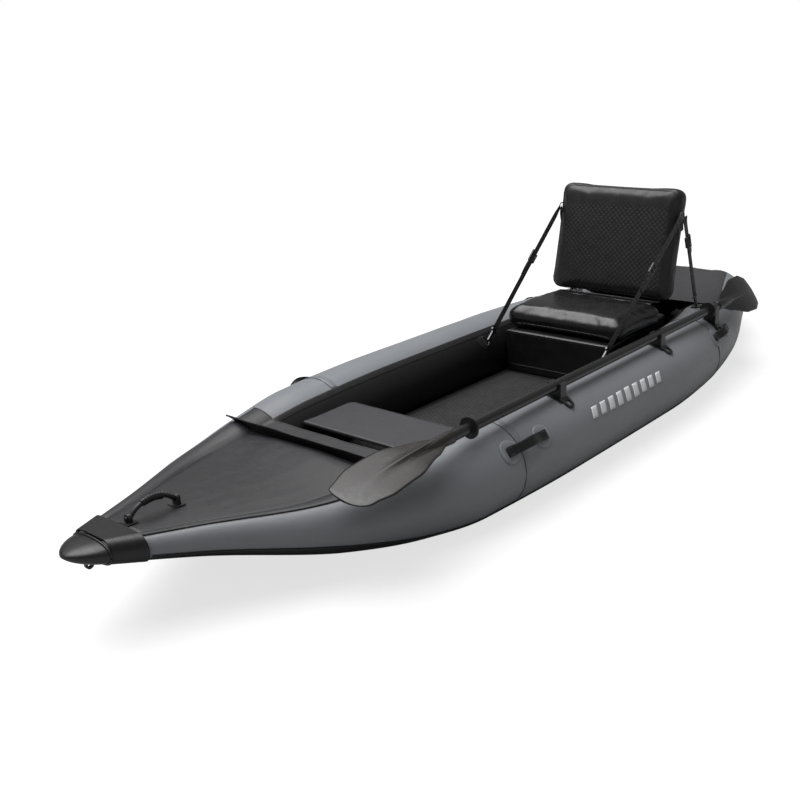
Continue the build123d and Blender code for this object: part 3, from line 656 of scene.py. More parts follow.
def webbing(name, colour):
    """Woven strap: ribs across and a herringbone along."""
    if name in MADE:
        return MADE[name]
    n = Nodes(name, colour, 0.78, Specular_IOR_Level=0.3)
    n.shader.inputs["Sheen Weight"].default_value = 0.25
    n.shader.inputs["Sheen Roughness"].default_value = 0.5
    across = n.mapped(turn=(0.6, 0.5, 0.78))
    rib = n.waves(320, "X", across, "TRI")
    cross = n.waves(410, "Z", across, "TRI")
    both = n.math("ADD", rib, cross)
    n.varied_colour(n.math("MULTIPLY", both, 0.5), shade(colour, 0.6), shade(colour, 1.7), 0.4)
    n.bump(both, 0.0004, 0.8)
    n.varied_roughness(n.noise(60), 0.7, 0.88)
    MADE[name] = n.material
    return n.material


def moulded(name, colour, roughness, grain=900.0, depth=0.00008, variation=0.15, swell=0.0006):
    """Moulded rubber or plastic with a fine spark-eroded grain."""
    if name in MADE:
        return MADE[name]
    n = Nodes(name, colour, roughness, Specular_IOR_Level=0.5)
    n.varied_colour(n.noise(12, 4), shade(colour, 1 - variation), shade(colour, 1 + variation))
    n.varied_roughness(n.noise(70, 4, 0.7), roughness - 0.06, roughness + 0.08)
    n.bump(n.noise(grain, 2), depth, 0.6)
    n.bump(n.noise(40, 2), swell, 0.25)
    MADE[name] = n.material
    return n.material


def smooth_plastic(name, colour):
    """The blades' smooth, faintly swirled plastic."""
    return moulded(name, colour, 0.3, grain=500, depth=0.00002, variation=0.05, swell=0.00008)


def metal(name, colour, roughness):
    """Drawn and polished metal wire or tube with fine draw lines."""
    if name in MADE:
        return MADE[name]
    n = Nodes(name, colour, roughness, Metallic=1.0)
    lines_along = n.noise(1, 3, 0.6, n.mapped(scale=(6, 900, 900)))
    n.varied_colour(n.noise(30, 3), shade(colour, 0.85), shade(colour, 1.1))
    n.varied_roughness(lines_along, roughness - 0.06, roughness + 0.1)
    n.bump(lines_along, 0.00004, 0.5)
    MADE[name] = n.material
    return n.material


def foam_mat(name, colour):
    """Closed-cell foam with a pebbled face."""
    if name in MADE:
        return MADE[name]
    n = Nodes(name, colour, 0.72, Specular_IOR_Level=0.4)
    cells = n.add("ShaderNodeTexVoronoi")
    cells.inputs["Scale"].default_value = 700
    n.link(n.place, cells.inputs["Vector"])
    n.varied_colour(n.noise(20, 4), shade(colour, 0.75), shade(colour, 1.35))
    n.bump(cells.outputs["Distance"], 0.0002, 0.6)
    n.varied_roughness(n.noise(45), 0.62, 0.82)
    MADE[name] = n.material
    return n.material


def paint(colours):
    """The materials, by the name of the piece that they are for."""
    c = colours
    return {
        "chamber": coated_fabric("chamber_fabric", tuple(c.chamber), 0.4, sheen=0.05),
        "weld": coated_fabric("weld_overlap", shade(c.chamber, 0.9), 0.34),
        "edge": coated_fabric("weld_edge", shade(c.chamber, 0.25), 0.5),
        "sheet": coated_fabric("deck_sheet", shade(c.sheet, 0.72), 0.38, variation=0.12),
        "fold": coated_fabric("deck_fold", shade(c.sheet, 0.95), 0.36, variation=0.12),
        "lining": coated_fabric("lining_sheet", shade(c.sheet, 0.16), 0.42, variation=0.2),
        "tape": coated_fabric("seam_tape", shade(c.sheet, 0.4), 0.32),
        "skin": coated_fabric("bottom_skin_sheet", shade(c.sheet, 0.16), 0.36, variation=0.2),
        # Near-black copy of the deck sheet: on the splash guard it is painted shade for the guard's face
        # turned away from the light; the same material also colours the beads along seams and hem edges
        "guard": coated_fabric("guard_sheet", shade(c.sheet, 0.1), 0.4),
        "panel": coated_fabric("panel_sheet", shade(c.sheet, 1.1), 0.42),
        "stern": coated_fabric("stern_sheet", shade(c.sheet, 1.0), 0.42, variation=0.12),
        "floor": coated_fabric("floor_sheet", shade(c.sheet, 0.35), 0.5),
        "mat": foam_mat("mat_foam", shade(c.rubber, 0.9)),
        "seat": gloss_sheet("seat_sheet", shade(c.seat, 0.6), 0.27),
        "back": gloss_sheet("backrest_sheet", shade(c.seat, 0.5), 0.44),
        "bench": gloss_sheet("bench_sheet", shade(c.seat, 0.25), 0.42),
        # Pale copy of the seat sheet: painted highlight for the bench's front edge catching the light
        "highlight_bead": gloss_sheet("bench_highlight_bead", shade(c.seat, 6.0), 0.3),
        "webbing": webbing("strap_webbing", shade(c.seat, 1.1)),
        "rubber": moulded("nose_rubber", tuple(c.rubber), 0.33),
        "band": moulded("band_rubber", shade(c.rubber, 0.35), 0.4),
        "plastic": moulded("fitting_plastic", shade(c.rubber, 1.2), 0.42),
        "patch": moulded("anchor_patch_rubber", shade(c.rubber, 1.1), 0.45),
        "hull_patch": coated_fabric("hull_patch", shade(c.chamber, 1.12), 0.42),
        "blade": smooth_plastic("blade_plastic", tuple(c.blade)),
        # Darker copy of the blade plastic for the rear blade: painted shade, as both blades are the same
        # plastic
        "shaded_rear_blade": smooth_plastic("rear_blade_painted_shade", shade(c.blade, 0.4)),
        "shaft": moulded("shaft_coating", shade(c.rubber, 1.2), 0.24, grain=1500, depth=0.00002),
        "steel": metal("ring_steel", (0.12, 0.12, 0.125), 0.42),
        "mark": moulded("printed_bars", tuple(c.mark), 0.5, grain=1200, depth=0.00002, variation=0.05),
    }


def palette():
    return paint(settings("kayak_colours"))


def finish_node(name, material):
    """A CAD node keeps its shape and takes a better material."""
    data = frame["nodes"][name]
    for slot in data.material_slots:
        slot.material = material
    if not data.material_slots:
        data.data.materials.append(material)


# ---------------------------------------------------------------- hull pieces
class KAYAK_OT_chambers(bpy.types.Operator):
    """Side chambers of welded coated fabric, with their overlaps and seam lines"""

    bl_idname = "kayak.chambers"
    bl_label = "Side chambers"

    sides = 72
    step = 0.02

    def ring(self, hull, x, radius, spacing, height):
        points = []
        for k in range(self.sides):
            a = 2 * math.pi * k / self.sides
            ripple = 0.0007 * wave((x, radius * a, 0), 0.12, 3)
            ripple += 0.0004 * wave((x, radius * a * 2, 0), 0.04, 7)
            for weld in WELD_PLACES:
                near = math.exp(-(((x - weld) / 0.05) ** 2))
                ripple += 0.0006 * near * math.sin(14 * a + 2 * math.sin(3 * a))
            r = radius + ripple - 0.0003
            y = max(0.0002, spacing + r * math.sin(a))
            points.append(Vector((x, y, height + r * math.cos(a))))
        return points

    def execute(self, context):
        hull = lines()
        look = palette()
        spacing, height, radius = hull.tube(hull.stern)
        rings = []
        for i in range(9, 0, -1):
            turn = math.radians(i * 9.7)
            x = hull.stern - radius * math.sin(turn)
            rings.append(self.ring(hull, x, radius * math.cos(turn), spacing, height))
        for x in spread(hull.stern, hull.bow, self.step):
            spacing, height, radius = hull.tube(x)
            rings.append(self.ring(hull, x, radius, spacing, height))
        port = lofted("port_chamber_skin", rings, look["chamber"])
        starboard = mirrored_copy(port, "starboard_chamber_skin")
        for piece, node in ((port, "port_chamber"), (starboard, "starboard_chamber")):
            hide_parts(node)
            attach(piece, "hull")
        self.welds(hull, look)
        return {"FINISHED"}

    def welds(self, hull, look):
        half = settings("kayak_hull").weld_width / 2
        for number, x in enumerate(WELD_PLACES):
            rows = []
            for u in (-1, -0.85, 0.85, 1):
                proud = 0.0002 if abs(u) == 1 else 0.0008
                rows.append([hull.on_tube(x + u * half, a, proud) for a in spread(-34, 138, 4)])
            band = thick_sheet("port_weld_%d" % (number + 1), rows, 0.0004, look["weld"])
            edge = [hull.on_tube(x + half, a, 0.0006) for a in spread(-34, 138, 4)]
            line = tube_along("port_weld_line_%d" % (number + 1), edge, 0.0009, look["edge"], sides=6)
            for piece in (band, line):
                other = mirrored_copy(piece, piece.name.replace("port", "starboard"))
                for one in (piece, other):
                    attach(one, "hull")


class KAYAK_OT_linings(bpy.types.Operator):
    """Black linings of the cockpit walls, with the tape along their welded edge"""

    bl_idname = "kayak.linings"
    bl_label = "Cockpit linings"

    def execute(self, context):
        hull = lines()
        look = palette()
        low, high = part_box("port_lining")
        seam = math.degrees(settings("kayak_hull").seam_angle)
        rows = [
            [hull.on_tube(x, a, 0.001) for a in spread(-seam, -123, 3)]
            for x in spread(low[0] + 0.0005, high[0] - 0.0005, 0.02)
        ]
        lining = thick_sheet("port_lining_sheet", rows, 0.0013, look["lining"])
        tape_rows = [
            [hull.on_tube(x, a, 0.0024) for a in spread(-seam + 2, -seam - 8, 2)]
            for x in spread(low[0] + 0.0005, high[0] - 0.0005, 0.02)
        ]
        tape = thick_sheet("port_seam_tape", tape_rows, 0.0009, look["tape"], rim=0.0003)
        for piece, node in ((lining, "port_lining"), (tape, None)):
            other = mirrored_copy(piece, piece.name.replace("port", "starboard"))
            for one, hidden in ((piece, node), (other, node and node.replace("port", "starboard"))):
                if hidden:
                    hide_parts(hidden)
                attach(one, "hull")
        return {"FINISHED"}


def across_section(hull, x, outboard, inboard, offset, step=6.0, middle=9, sag=0.0):
    """Points of a sheet hugging both chambers and running between them, port to starboard."""
    count = max(8, round(60 / step))
    turn = (inboard - outboard) / count
    port = [hull.on_tube(x, outboard + turn * i, offset) for i in range(count + 1)]
    half = port[-1][1]
    between = []
    for i in range(1, middle):
        share = i / middle
        y = half * (1 - 2 * share)
        between.append(Vector((x, y, port[-1][2] - sag * (1 - (y / half) ** 2 if half else 0))))
    return port + between + [flip(p) for p in reversed(port)]


class KAYAK_OT_bottom(bpy.types.Operator):
    """Bottom skin, wrapped up the outer sides of the chambers"""

    bl_idname = "kayak.bottom"
    bl_label = "Bottom skin"

    def execute(self, context):
        hull = lines()
        look = palette()
        low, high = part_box("bottom_skin")
        angle = math.degrees(settings("kayak_hull").skin_angle)
        hem = settings("kayak_hull").guard_x - HEM_DEPTH
        rows = []
        for x in spread(low[0], high[0], 0.02):
            climb = min(1, max(0, (x - hem) / 0.3))
            rows.append(across_section(hull, x, angle - 20 * climb, 180, 0.0021, 4, 12))
        skin = thick_sheet("bottom_skin_sheet", rows, 0.003, look["skin"], rim=0.0008)
        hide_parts("bottom_skin")
        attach(skin, "hull")
        return {"FINISHED"}


class KAYAK_OT_bow_deck(bpy.types.Operator):
    """Taut bow deck with its hem, splash guard and fold over the chambers"""

    bl_idname = "kayak.bow_deck"
    bl_label = "Bow deck"

    def deck_section(self, hull, x, seam, crown, count=40):
        edge = hull.on_tube(x, -seam, 0.0018)
        rise = crown * edge[1]
        points = []
        for i in range(count + 1):
            y = edge[1] * (1 - 2 * i / count)
            share = y / edge[1]
            z = edge[2] + rise * (1 - share**2)
            taut = (1 - share**2) ** 0.5 if abs(share) < 1 else 0
            pull = 0.0009 * math.sin(17 * share + 3 * wave((x, 0, 0), 0.4)) * wave((x, y * 2, 0), 0.2, 5)
            pull += 0.0016 * wave((x * 0.5, y * 1.1, 0), 0.11, 2)
            points.append(Vector((x, y, z + 0.8 * taut * pull * min(1, edge[1] / 0.12))))
        return points

    def execute(self, context):
        hull = lines()
        look = palette()
        sizes = settings("kayak_hull")
        seam = math.degrees(sizes.seam_angle)
        low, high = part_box("bow_deck")
        rows = [
            self.deck_section(hull, x, seam, sizes.deck_crown)
            for x in spread(low[0], high[0], 0.012)
        ]
        deck = thick_sheet("bow_deck_sheet", rows, 0.0028, look["sheet"])
        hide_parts("bow_deck")
        fold_rows = []
        seam_places = spread(low[0] - 0.004, HALF_LENGTH - 0.146, 0.012)
        for x in seam_places:
            row = []
            for a in spread(DECK_SEAM_ANGLE, -seam - 5, 3):
                lift = 0.0022 + 0.0006 * wave((x, a / 30, 0), 0.09, 4)
                row.append(hull.on_tube(x, a, lift))
            fold_rows.append(row)
        fold = thick_sheet("port_deck_fold", fold_rows, 0.0022, look["fold"], rim=0.0008)
        bead = [hull.on_tube(x, DECK_SEAM_ANGLE + 0.5, 0.0016) for x in seam_places]
        line = tube_along("port_deck_seam_line", bead, 0.0013, look["guard"], sides=6)
        pieces = [deck, fold, line]
        pieces.append(mirrored_copy(fold, "starboard_deck_fold"))
        pieces.append(mirrored_copy(line, "starboard_deck_seam_line"))
        for piece in pieces:
            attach(piece, "hull")
        self.hem(hull, look, seam)
        self.guard(hull, look, seam, sizes)
        return {"FINISHED"}

    def hem(self, hull, look, seam):
        low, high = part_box("deck_hem")
        rows = []
        for x in spread(low[0] + 0.001, high[0] + 0.006, 0.006):
            free = max(0, 1 - (x - low[0]) / 0.05)
            row = across_section(hull, x, 8, -seam, 0.0018, 4, 30)
            for p in row:
                inside = max(0, 1 - (abs(p.y) / 0.24) ** 4)
                p.z += inside * (0.0045 * free * wave((p.x, p.y, 0), 0.085, 11) - 0.003 * free)
                p.x += inside * free * 0.005 * wave((0, p.y, 1), 0.11, 9)
            rows.append(row)
        hem = thick_sheet("deck_hem_sheet", rows, 0.0028, look["sheet"], rim=0.0008)
        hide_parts("deck_hem")
        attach(hem, "hull")
        bead = tube_along("deck_hem_bead", [p.copy() for p in rows[0]], 0.0028, look["guard"], sides=8)
        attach(bead, "hull")

    def guard(self, hull, look, seam, sizes):
        low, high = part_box("splash_guard")
        base_x = (low[0] + high[0]) / 2
        base = across_section(hull, base_x, 8, -seam, 0.004, 3, 44)
        levels = 8
        rows = []
        for level in range(levels + 1):
            t = level / levels
            row = []
            for p in base:
                share = abs(p.y) / abs(base[0].y)
                top = high[2] - 0.004 * wave((0, p.y, 0), 0.1, 21) * (1 - share**3) - 0.003
                reach = 1 + t * 0.085 * max(0, share - 0.6) / 0.4
                y = p.y * reach
                z = p.z + (top - p.z) * t
                lean = 0.012 * t**1.5 + 0.004 * t * wave((0, p.y, 0), 0.09, 13)
                y_limit = min(max(y, low[1]), high[1])
                row.append(Vector((base_x + lean - 0.002, y_limit, z)))
            rows.append(row)
        # The guard takes the near-black guard sheet, painted shade for its face turned away from the light
        guard = thick_sheet("splash_guard_sheet", rows, 0.0026, look["guard"], rim=0.0008)
        rim = [p.copy() for p in rows[-1]]
        top_bead = tube_along("splash_guard_rim", rim, 0.0026, look["guard"], sides=8)
        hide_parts("splash_guard")
        for piece in (guard, top_bead):
            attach(piece, "hull")


class KAYAK_OT_panel(bpy.types.Operator):
    """Flat panel across the front of the cockpit"""

    bl_idname = "kayak.panel"
    bl_label = "Deck panel"

    def execute(self, context):
        hull = lines()
        look = palette()
        low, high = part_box("deck_panel")
        corner = 0.024
        sides = []
        for x in spread(low[0] + corner, high[0], 0.02):
            sides.append((x, hull.wall(x, low[2], 0.003)))
        rounded = []
        y0 = sides[0][1]
        for i in range(7):
            a = math.radians(90 * i / 6)
            rounded.append((low[0] + corner - corner * math.cos(a), y0 - corner + corner * math.sin(a)))
        port = rounded + sides[1:]
        outline = port + [(x, -y) for x, y in reversed(port)]
        panel = slab("deck_panel_board", outline, low[2], high[2], 0.0045, look["panel"])
        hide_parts("deck_panel")
        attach(panel, "hull")
        rim = [Vector((x, y * 0.992, high[2] + 0.0002)) for x, y in port]
        rim = rim[:-1]
        path = [Vector((p.x + 0.008, p.y - 0.004, p.z)) for p in rim]
        path = path[::-1] + [flip(p) for p in path]
        stitch = tube_along("deck_panel_edge_tape", path, 0.0009, look["tape"], sides=6)
        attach(stitch, "hull")
        return {"FINISHED"}


class KAYAK_OT_stern_deck(bpy.types.Operator):
    """Sheet over the closed stern"""

    bl_idname = "kayak.stern_deck"
    bl_label = "Stern deck"

    def execute(self, context):
        hull = lines()
        look = palette()
        low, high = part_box("stern_deck")
        rows = []
        for x in spread(low[0], high[0], 0.012):
            row = across_section(hull, x, 16, 0, 0.0024, 4, 30)
            half = abs(row[0].y)
            for p in row:
                inside = max(0, 1 - (abs(p.y) / (half * 0.75)) ** 4)
                p.z += inside * (0.0022 * wave((p.x * 0.6, p.y, 0), 0.1, 31) - 0.002)
            rows.append(row)
        deck = thick_sheet("stern_deck_sheet", rows, 0.0028, look["stern"], rim=0.0008)
        edge = [p + Vector((0, 0, 0.0004)) for p in rows[-1]]
        bead = tube_along("stern_deck_hem", edge, 0.003, look["guard"], sides=8)
        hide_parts("stern_deck")
        for piece in (deck, bead):
            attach(piece, "hull")
        edge = [hull.on_tube(x, 16.5, 0.0014) for x in spread(low[0], high[0], 0.02)]
        line = tube_along("port_stern_seam_line", edge, 0.0012, look["edge"], sides=6)
        for piece in (line, mirrored_copy(line, "starboard_stern_seam_line")):
            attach(piece, "hull")
        return {"FINISHED"}


class KAYAK_OT_nose(bpy.types.Operator):
    """Rubber nose, band and tow eye"""

    bl_idname = "kayak.nose"
    bl_label = "Nose"

    def execute(self, context):
        look = palette()
        finish_node("nose_band", look["band"])
        finish_node("tow_eye", look["rubber"])
        low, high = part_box("nose_cone")
        length = high[0] - low[0]
        half_width = (high[1] - low[1]) / 2
        half_height = (high[2] - low[2]) / 2 - self.lift / 2
        rings = []
        for i in range(30):
            share = math.sin(math.pi / 2 * i / 29)
            taper = max(0.004, (1 - share**1.5) ** 0.6)
            middle = (low[2] + half_height) + self.lift * share
            x = low[0] + length * share
            rings.append(self.section(x, half_width * taper, half_height * taper, middle))
        cone = lofted("nose_cone_moulding", rings, look["rubber"])
        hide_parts("nose_cone")
        lip_ring = self.section(low[0] + 0.003, half_width + 0.001, half_height + 0.001, low[2] + half_height)
        lip = tube_along("nose_lip", lip_ring, 0.003, look["band"], sides=10, closed=True)
        for piece in (cone, lip):
            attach(piece, "hull")
        return {"FINISHED"}

    lift = 0.009

    def section(self, x, half_width, half_height, middle):
        """Rounded flat oval across the nose."""
        ring = []
        for k in range(56):
            a = 2 * math.pi * k / 56
            c, s = math.cos(a), math.sin(a)
            r = (abs(c) ** 2.5 + abs(s) ** 2.5) ** (-1 / 2.5)
            ring.append(Vector((x, half_width * r * c, middle + half_height * r * s)))
        return ring


class KAYAK_OT_side_mark(bpy.types.Operator):
    """Row of slanted bars printed on the sides of the hull"""

    bl_idname = "kayak.side_mark"
    bl_label = "Side mark"

    def execute(self, context):
        hull = lines()
        look = palette()
        height = settings("kayak_hull").mark_height
        points, faces = [], []
        start, end, bars = 0.255, -0.175, 9
        pitch = (end - start) / bars
        for i in range(bars):
            x0 = start + pitch * i
            x1 = x0 + pitch * 0.62
            tall = height * (1 - 0.055 * abs(i - (bars - 1) / 2))
            first = len(points)
            across, up = 5, 6
            for a in range(across):
                for b in range(up):
                    t = b / (up - 1)
                    x = x0 + (x1 - x0) * a / (across - 1) - 0.014 * (t - 0.5)
                    radius = hull.tube(x)[2]
                    angle = 59 - math.degrees(tall / radius) * (t - 0.5)
                    points.append(hull.on_tube(x, angle, 0.0011))
            faces += grid_faces(across, up, first=first)
        mark = mesh_piece("port_side_bars", points, faces, look["mark"])
        solid = mark.modifiers.new("thickness", "SOLIDIFY")
        solid.thickness = 0.0004
        for piece in (mark, mirrored_copy(mark, "starboard_side_bars")):
            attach(piece, "hull")
        return {"FINISHED"}


# ---------------------------------------------------------------- floor and seat
class KAYAK_OT_floor(bpy.types.Operator):
    """Stiff inflated floor and its ribbed mat"""

    bl_idname = "kayak.floor"
    bl_label = "Floor"

    def execute(self, context):
        hull = lines()
        look = palette()
        low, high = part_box("floor_chamber")
        sides = [(x, hull.wall(x, high[2], 0.003)) for x in spread(low[0] + 0.06, high[0] - 0.06, 0.04)]
        port = [(low[0], sides[0][1] - 0.06)] + sides + [(high[0], sides[-1][1] - 0.07)]
        outline = port + [(x, -y) for x, y in reversed(port)]
        floor = slab("floor_board", outline, low[2], high[2], 0.012, look["floor"], segments=5)
        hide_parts("floor_chamber")
        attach(floor, "hull")
        self.mat(look)
        return {"FINISHED"}

    def mat(self, look):
        low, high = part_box("floor_mat")
        step = 0.0032
        corner = 0.03
        xs = spread(low[0], high[0], step)
        ys = spread(low[1], high[1], step)
        pitch = 0.0165
        rows = []
        for x in xs:
            row = []
            for y in ys:
                px, py = x, y
                cx = min(max(x, low[0] + corner), high[0] - corner)
                cy = min(max(y, low[1] + corner), high[1] - corner)
                away = math.hypot(x - cx, y - cy)
                if away > corner:
                    px = cx + (x - cx) * corner / away
                    py = cy + (y - cy) * corner / away
                u = (px + py * 0.62) / pitch
                v = (px - py * 0.62) / pitch
                rib = abs(math.sin(math.pi * u)) * abs(math.sin(math.pi * v))
                row.append(Vector((px, py, low[2] + 0.0021 + 0.0019 * rib**0.7)))
            rows.append(row)
        points = [p for row in rows for p in row]
        faces = grid_faces(len(rows), len(rows[0]))
        mat = mesh_piece("floor_mat_ribs", points, faces, look["mat"])
        solid = mat.modifiers.new("thickness", "SOLIDIFY")
        solid.thickness = 0.0018
        solid.offset = -1
        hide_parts("floor_mat")
        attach(mat, "hull")


def rounded_block(name, low, high, corner, edge, crown, tuck, material, step=0.012):
    """A pad: a block with round corners, a crowned top and sides that pull in between corners."""
    centre = (Vector(low) + Vector(high)) / 2
    half = (Vector(high) - Vector(low)) / 2
    counts = [max(4, int(2 * h / step)) for h in half]
    bm = bmesh.new()
    made = {}

    def vertex(key):
        if key not in made:
            u, v, w = (2 * k / n - 1 for k, n in zip(key, counts))
            plan = Vector((u * half.x, v * half.y, 0))
            inner = Vector((
                min(max(plan.x, corner - half.x), half.x - corner),
                min(max(plan.y, corner - half.y), half.y - corner),
                0,
            ))
            away = plan - inner
            if away.length > 1e-9:
                reach = max(abs(away.x), abs(away.y))
                away = away.normalized() * reach
            plan = inner + away
            z = w * half.z
            depth = half.z - edge
            if abs(z) > depth:
                over = (abs(z) - depth) / edge
                border = max(abs(u), abs(v))
                pull = 1 - math.sqrt(max(0, 1 - over**2))
                rim = edge * pull * border**6
                length = max(1e-9, plan.length)
                plan = plan * (1 - rim / max(length, edge * 2))
            inside = (1 - u * u) * (1 - v * v)
            z += crown * inside**0.8 * w
            plan.x *= 1 - tuck * (1 - v * v) * abs(u)
            plan.y *= 1 - tuck * (1 - u * u) * abs(v)
            made[key] = bm.verts.new(centre + Vector((plan.x, plan.y, z)))
        return made[key]

    for axis in range(3):
        others = [k for k in range(3) if k != axis]
        for side in (0, counts[axis]):
            for i in range(counts[others[0]]):
                for j in range(counts[others[1]]):
                    corners = []
                    for a, b in ((0, 0), (1, 0), (1, 1), (0, 1)):
                        key = [0, 0, 0]
                        key[axis] = side
                        key[others[0]] = i + a
                        key[others[1]] = j + b
                        corners.append(vertex(tuple(key)))
                    bm.faces.new(corners)
    bmesh.ops.recalc_face_normals(bm, faces=bm.faces)
    mesh = bpy.data.meshes.new(name)
    bm.to_mesh(mesh)
    bm.free()
    mesh.materials.append(material)
    mesh.polygons.foreach_set("use_smooth", [True] * len(mesh.polygons))
    piece = bpy.data.objects.new(name, mesh)
    bpy.context.scene.collection.objects.link(piece)
    return piece


def inflated(piece, pressure, reach, voxel=0.006):
    """The pad swollen by its filling: a short cloth simulation, its travel capped, made part of the mesh."""
    rest = piece.modifiers.new("remesh", "REMESH")
    rest.mode = "VOXEL"
    rest.voxel_size = voxel
    applied(piece)
    before = [v.co.copy() for v in piece.data.vertices]
    cloth = piece.modifiers.new("cloth", "CLOTH")
    cloth.settings.use_pressure = True
    cloth.settings.uniform_pressure_force = pressure
    cloth.settings.effector_weights.gravity = 0
    cloth.settings.quality = 4
    cloth.settings.tension_stiffness = 25
    cloth.settings.compression_stiffness = 25
    cloth.settings.bending_stiffness = 1.5
    cloth.collision_settings.use_collision = False
    scene = bpy.context.scene
    cloth.point_cache.frame_start = 1
    cloth.point_cache.frame_end = 16
    for number in range(1, 17):
        scene.frame_set(number)
    graph = bpy.context.evaluated_depsgraph_get()
    after = [v.co.copy() for v in piece.evaluated_get(graph).data.vertices]
    piece.modifiers.clear()
    scene.frame_set(1)
    for vertex, old, new in zip(piece.data.vertices, before, after):
        move = new - old
        if move.length > reach:
            move = move * (reach / move.length)
        vertex.co = old + move
    bm = bmesh.new()
    bm.from_mesh(piece.data)
    for _ in range(3):
        bmesh.ops.smooth_vert(
            bm, verts=bm.verts, factor=0.5, use_axis_x=True, use_axis_y=True, use_axis_z=True,
        )
    bm.to_mesh(piece.data)
    bm.free()
    piece.data.polygons.foreach_set("use_smooth", [True] * len(piece.data.polygons))
    return piece


def hug(piece, ring):
    """Moves a ring of points onto a piece's surface."""
    for p in ring:
        found, place, normal, _ = piece.closest_point_on_mesh(p)
        if found:
            p.xyz = place + normal * 0.0003


class KAYAK_OT_bench(bpy.types.Operator):
    """Inflated block that raises the seat, with a pale bead along its top edge that is a painted highlight of
    the edge catching the light
    """

    bl_idname = "kayak.bench"
    bl_label = "Seat bench"

    def execute(self, context):
        hull = lines()
        look = palette()
        low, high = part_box("seat_bench")
        corners = [(low[0], hull.wall(low[0], 0.128, 0.003)), (high[0], hull.wall(high[0], 0.128, 0.003))]
        outline = [corners[0], corners[1], (corners[1][0], -corners[1][1]), (corners[0][0], -corners[0][1])]
        bench = slab("seat_bench_block", outline, low[2], high[2], 0.012, look["bench"], segments=5)
        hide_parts("seat_bench")
        half = corners[1][1] - 0.006
        # Bead along the bench's front top edge, coloured pale as a painted highlight where the edge catches
        # the light
        path = [Vector((high[0] - 0.0008, y, high[2] - 0.0035)) for y in spread(half, -half, 0.03)]
        highlight_bead = tube_along("seat_bench_highlight_bead", path, 0.0026, look["highlight_bead"], sides=8)
        seam = [Vector((high[0] + 0.0002, y, low[2] + 0.028)) for y in spread(half, -half, 0.03)]
        lower = tube_along("seat_bench_seam", seam, 0.0014, look["bench"], sides=6)
        for piece in (bench, highlight_bead, lower):
            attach(piece, "hull")
        return {"FINISHED"}


class KAYAK_OT_cushion(bpy.types.Operator):
    """Seat cushion: a glossy pad with a round front and a seam round its sides"""

    bl_idname = "kayak.cushion"
    bl_label = "Seat cushion"

    def execute(self, context):
        look = palette()
        low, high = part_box("seat_base")
        inset = Vector((0.004, 0.004, 0.003))
        fuller = Vector((0.014, 0.002, 0.002))
        cushion = rounded_block(
            "seat_cushion", low + inset, high + fuller - inset, 0.034, 0.03, 0.004, 0.006, look["seat"],
        )
        inflated(cushion, 4.0, 0.007)
        floor_level = low[2] + 0.0004
        for v in cushion.data.vertices:
            v.co.z = max(v.co.z, floor_level)
            edge_share = min(1, max(0, (v.co.x - (high[0] - 0.1)) / 0.1))
            if v.co.z > (low[2] + high[2]) / 2:
                v.co.z -= 0.006 * edge_share**2
                v.co.z += 0.0012 * wave(v.co, 0.06, 40)
        detail = cushion.modifiers.new("smooth", "SUBSURF")
        detail.levels = 1
        detail.render_levels = 1
        applied(cushion)
        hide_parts("seat_base")
        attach(cushion, "hull")
        half_x, half_y = (high[0] - low[0]) / 2 - 0.003, (high[1] - low[1]) / 2 - 0.003
        centre = (low + high) / 2
        ring = []
        for i in range(96):
            a = 2 * math.pi * i / 96
            c, s = math.cos(a), math.sin(a)
            k = 7
            r = (abs(c) ** k + abs(s) ** k) ** (-1 / k)
            ring.append(Vector((centre.x + half_x * r * c, centre.y + half_y * r * s, low[2] + 0.024)))
        hug(cushion, ring)
        seam = tube_along("seat_cushion_seam", ring, 0.0014, look["seat"], sides=8, closed=True)
        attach(seam, "hull")
        return {"FINISHED"}


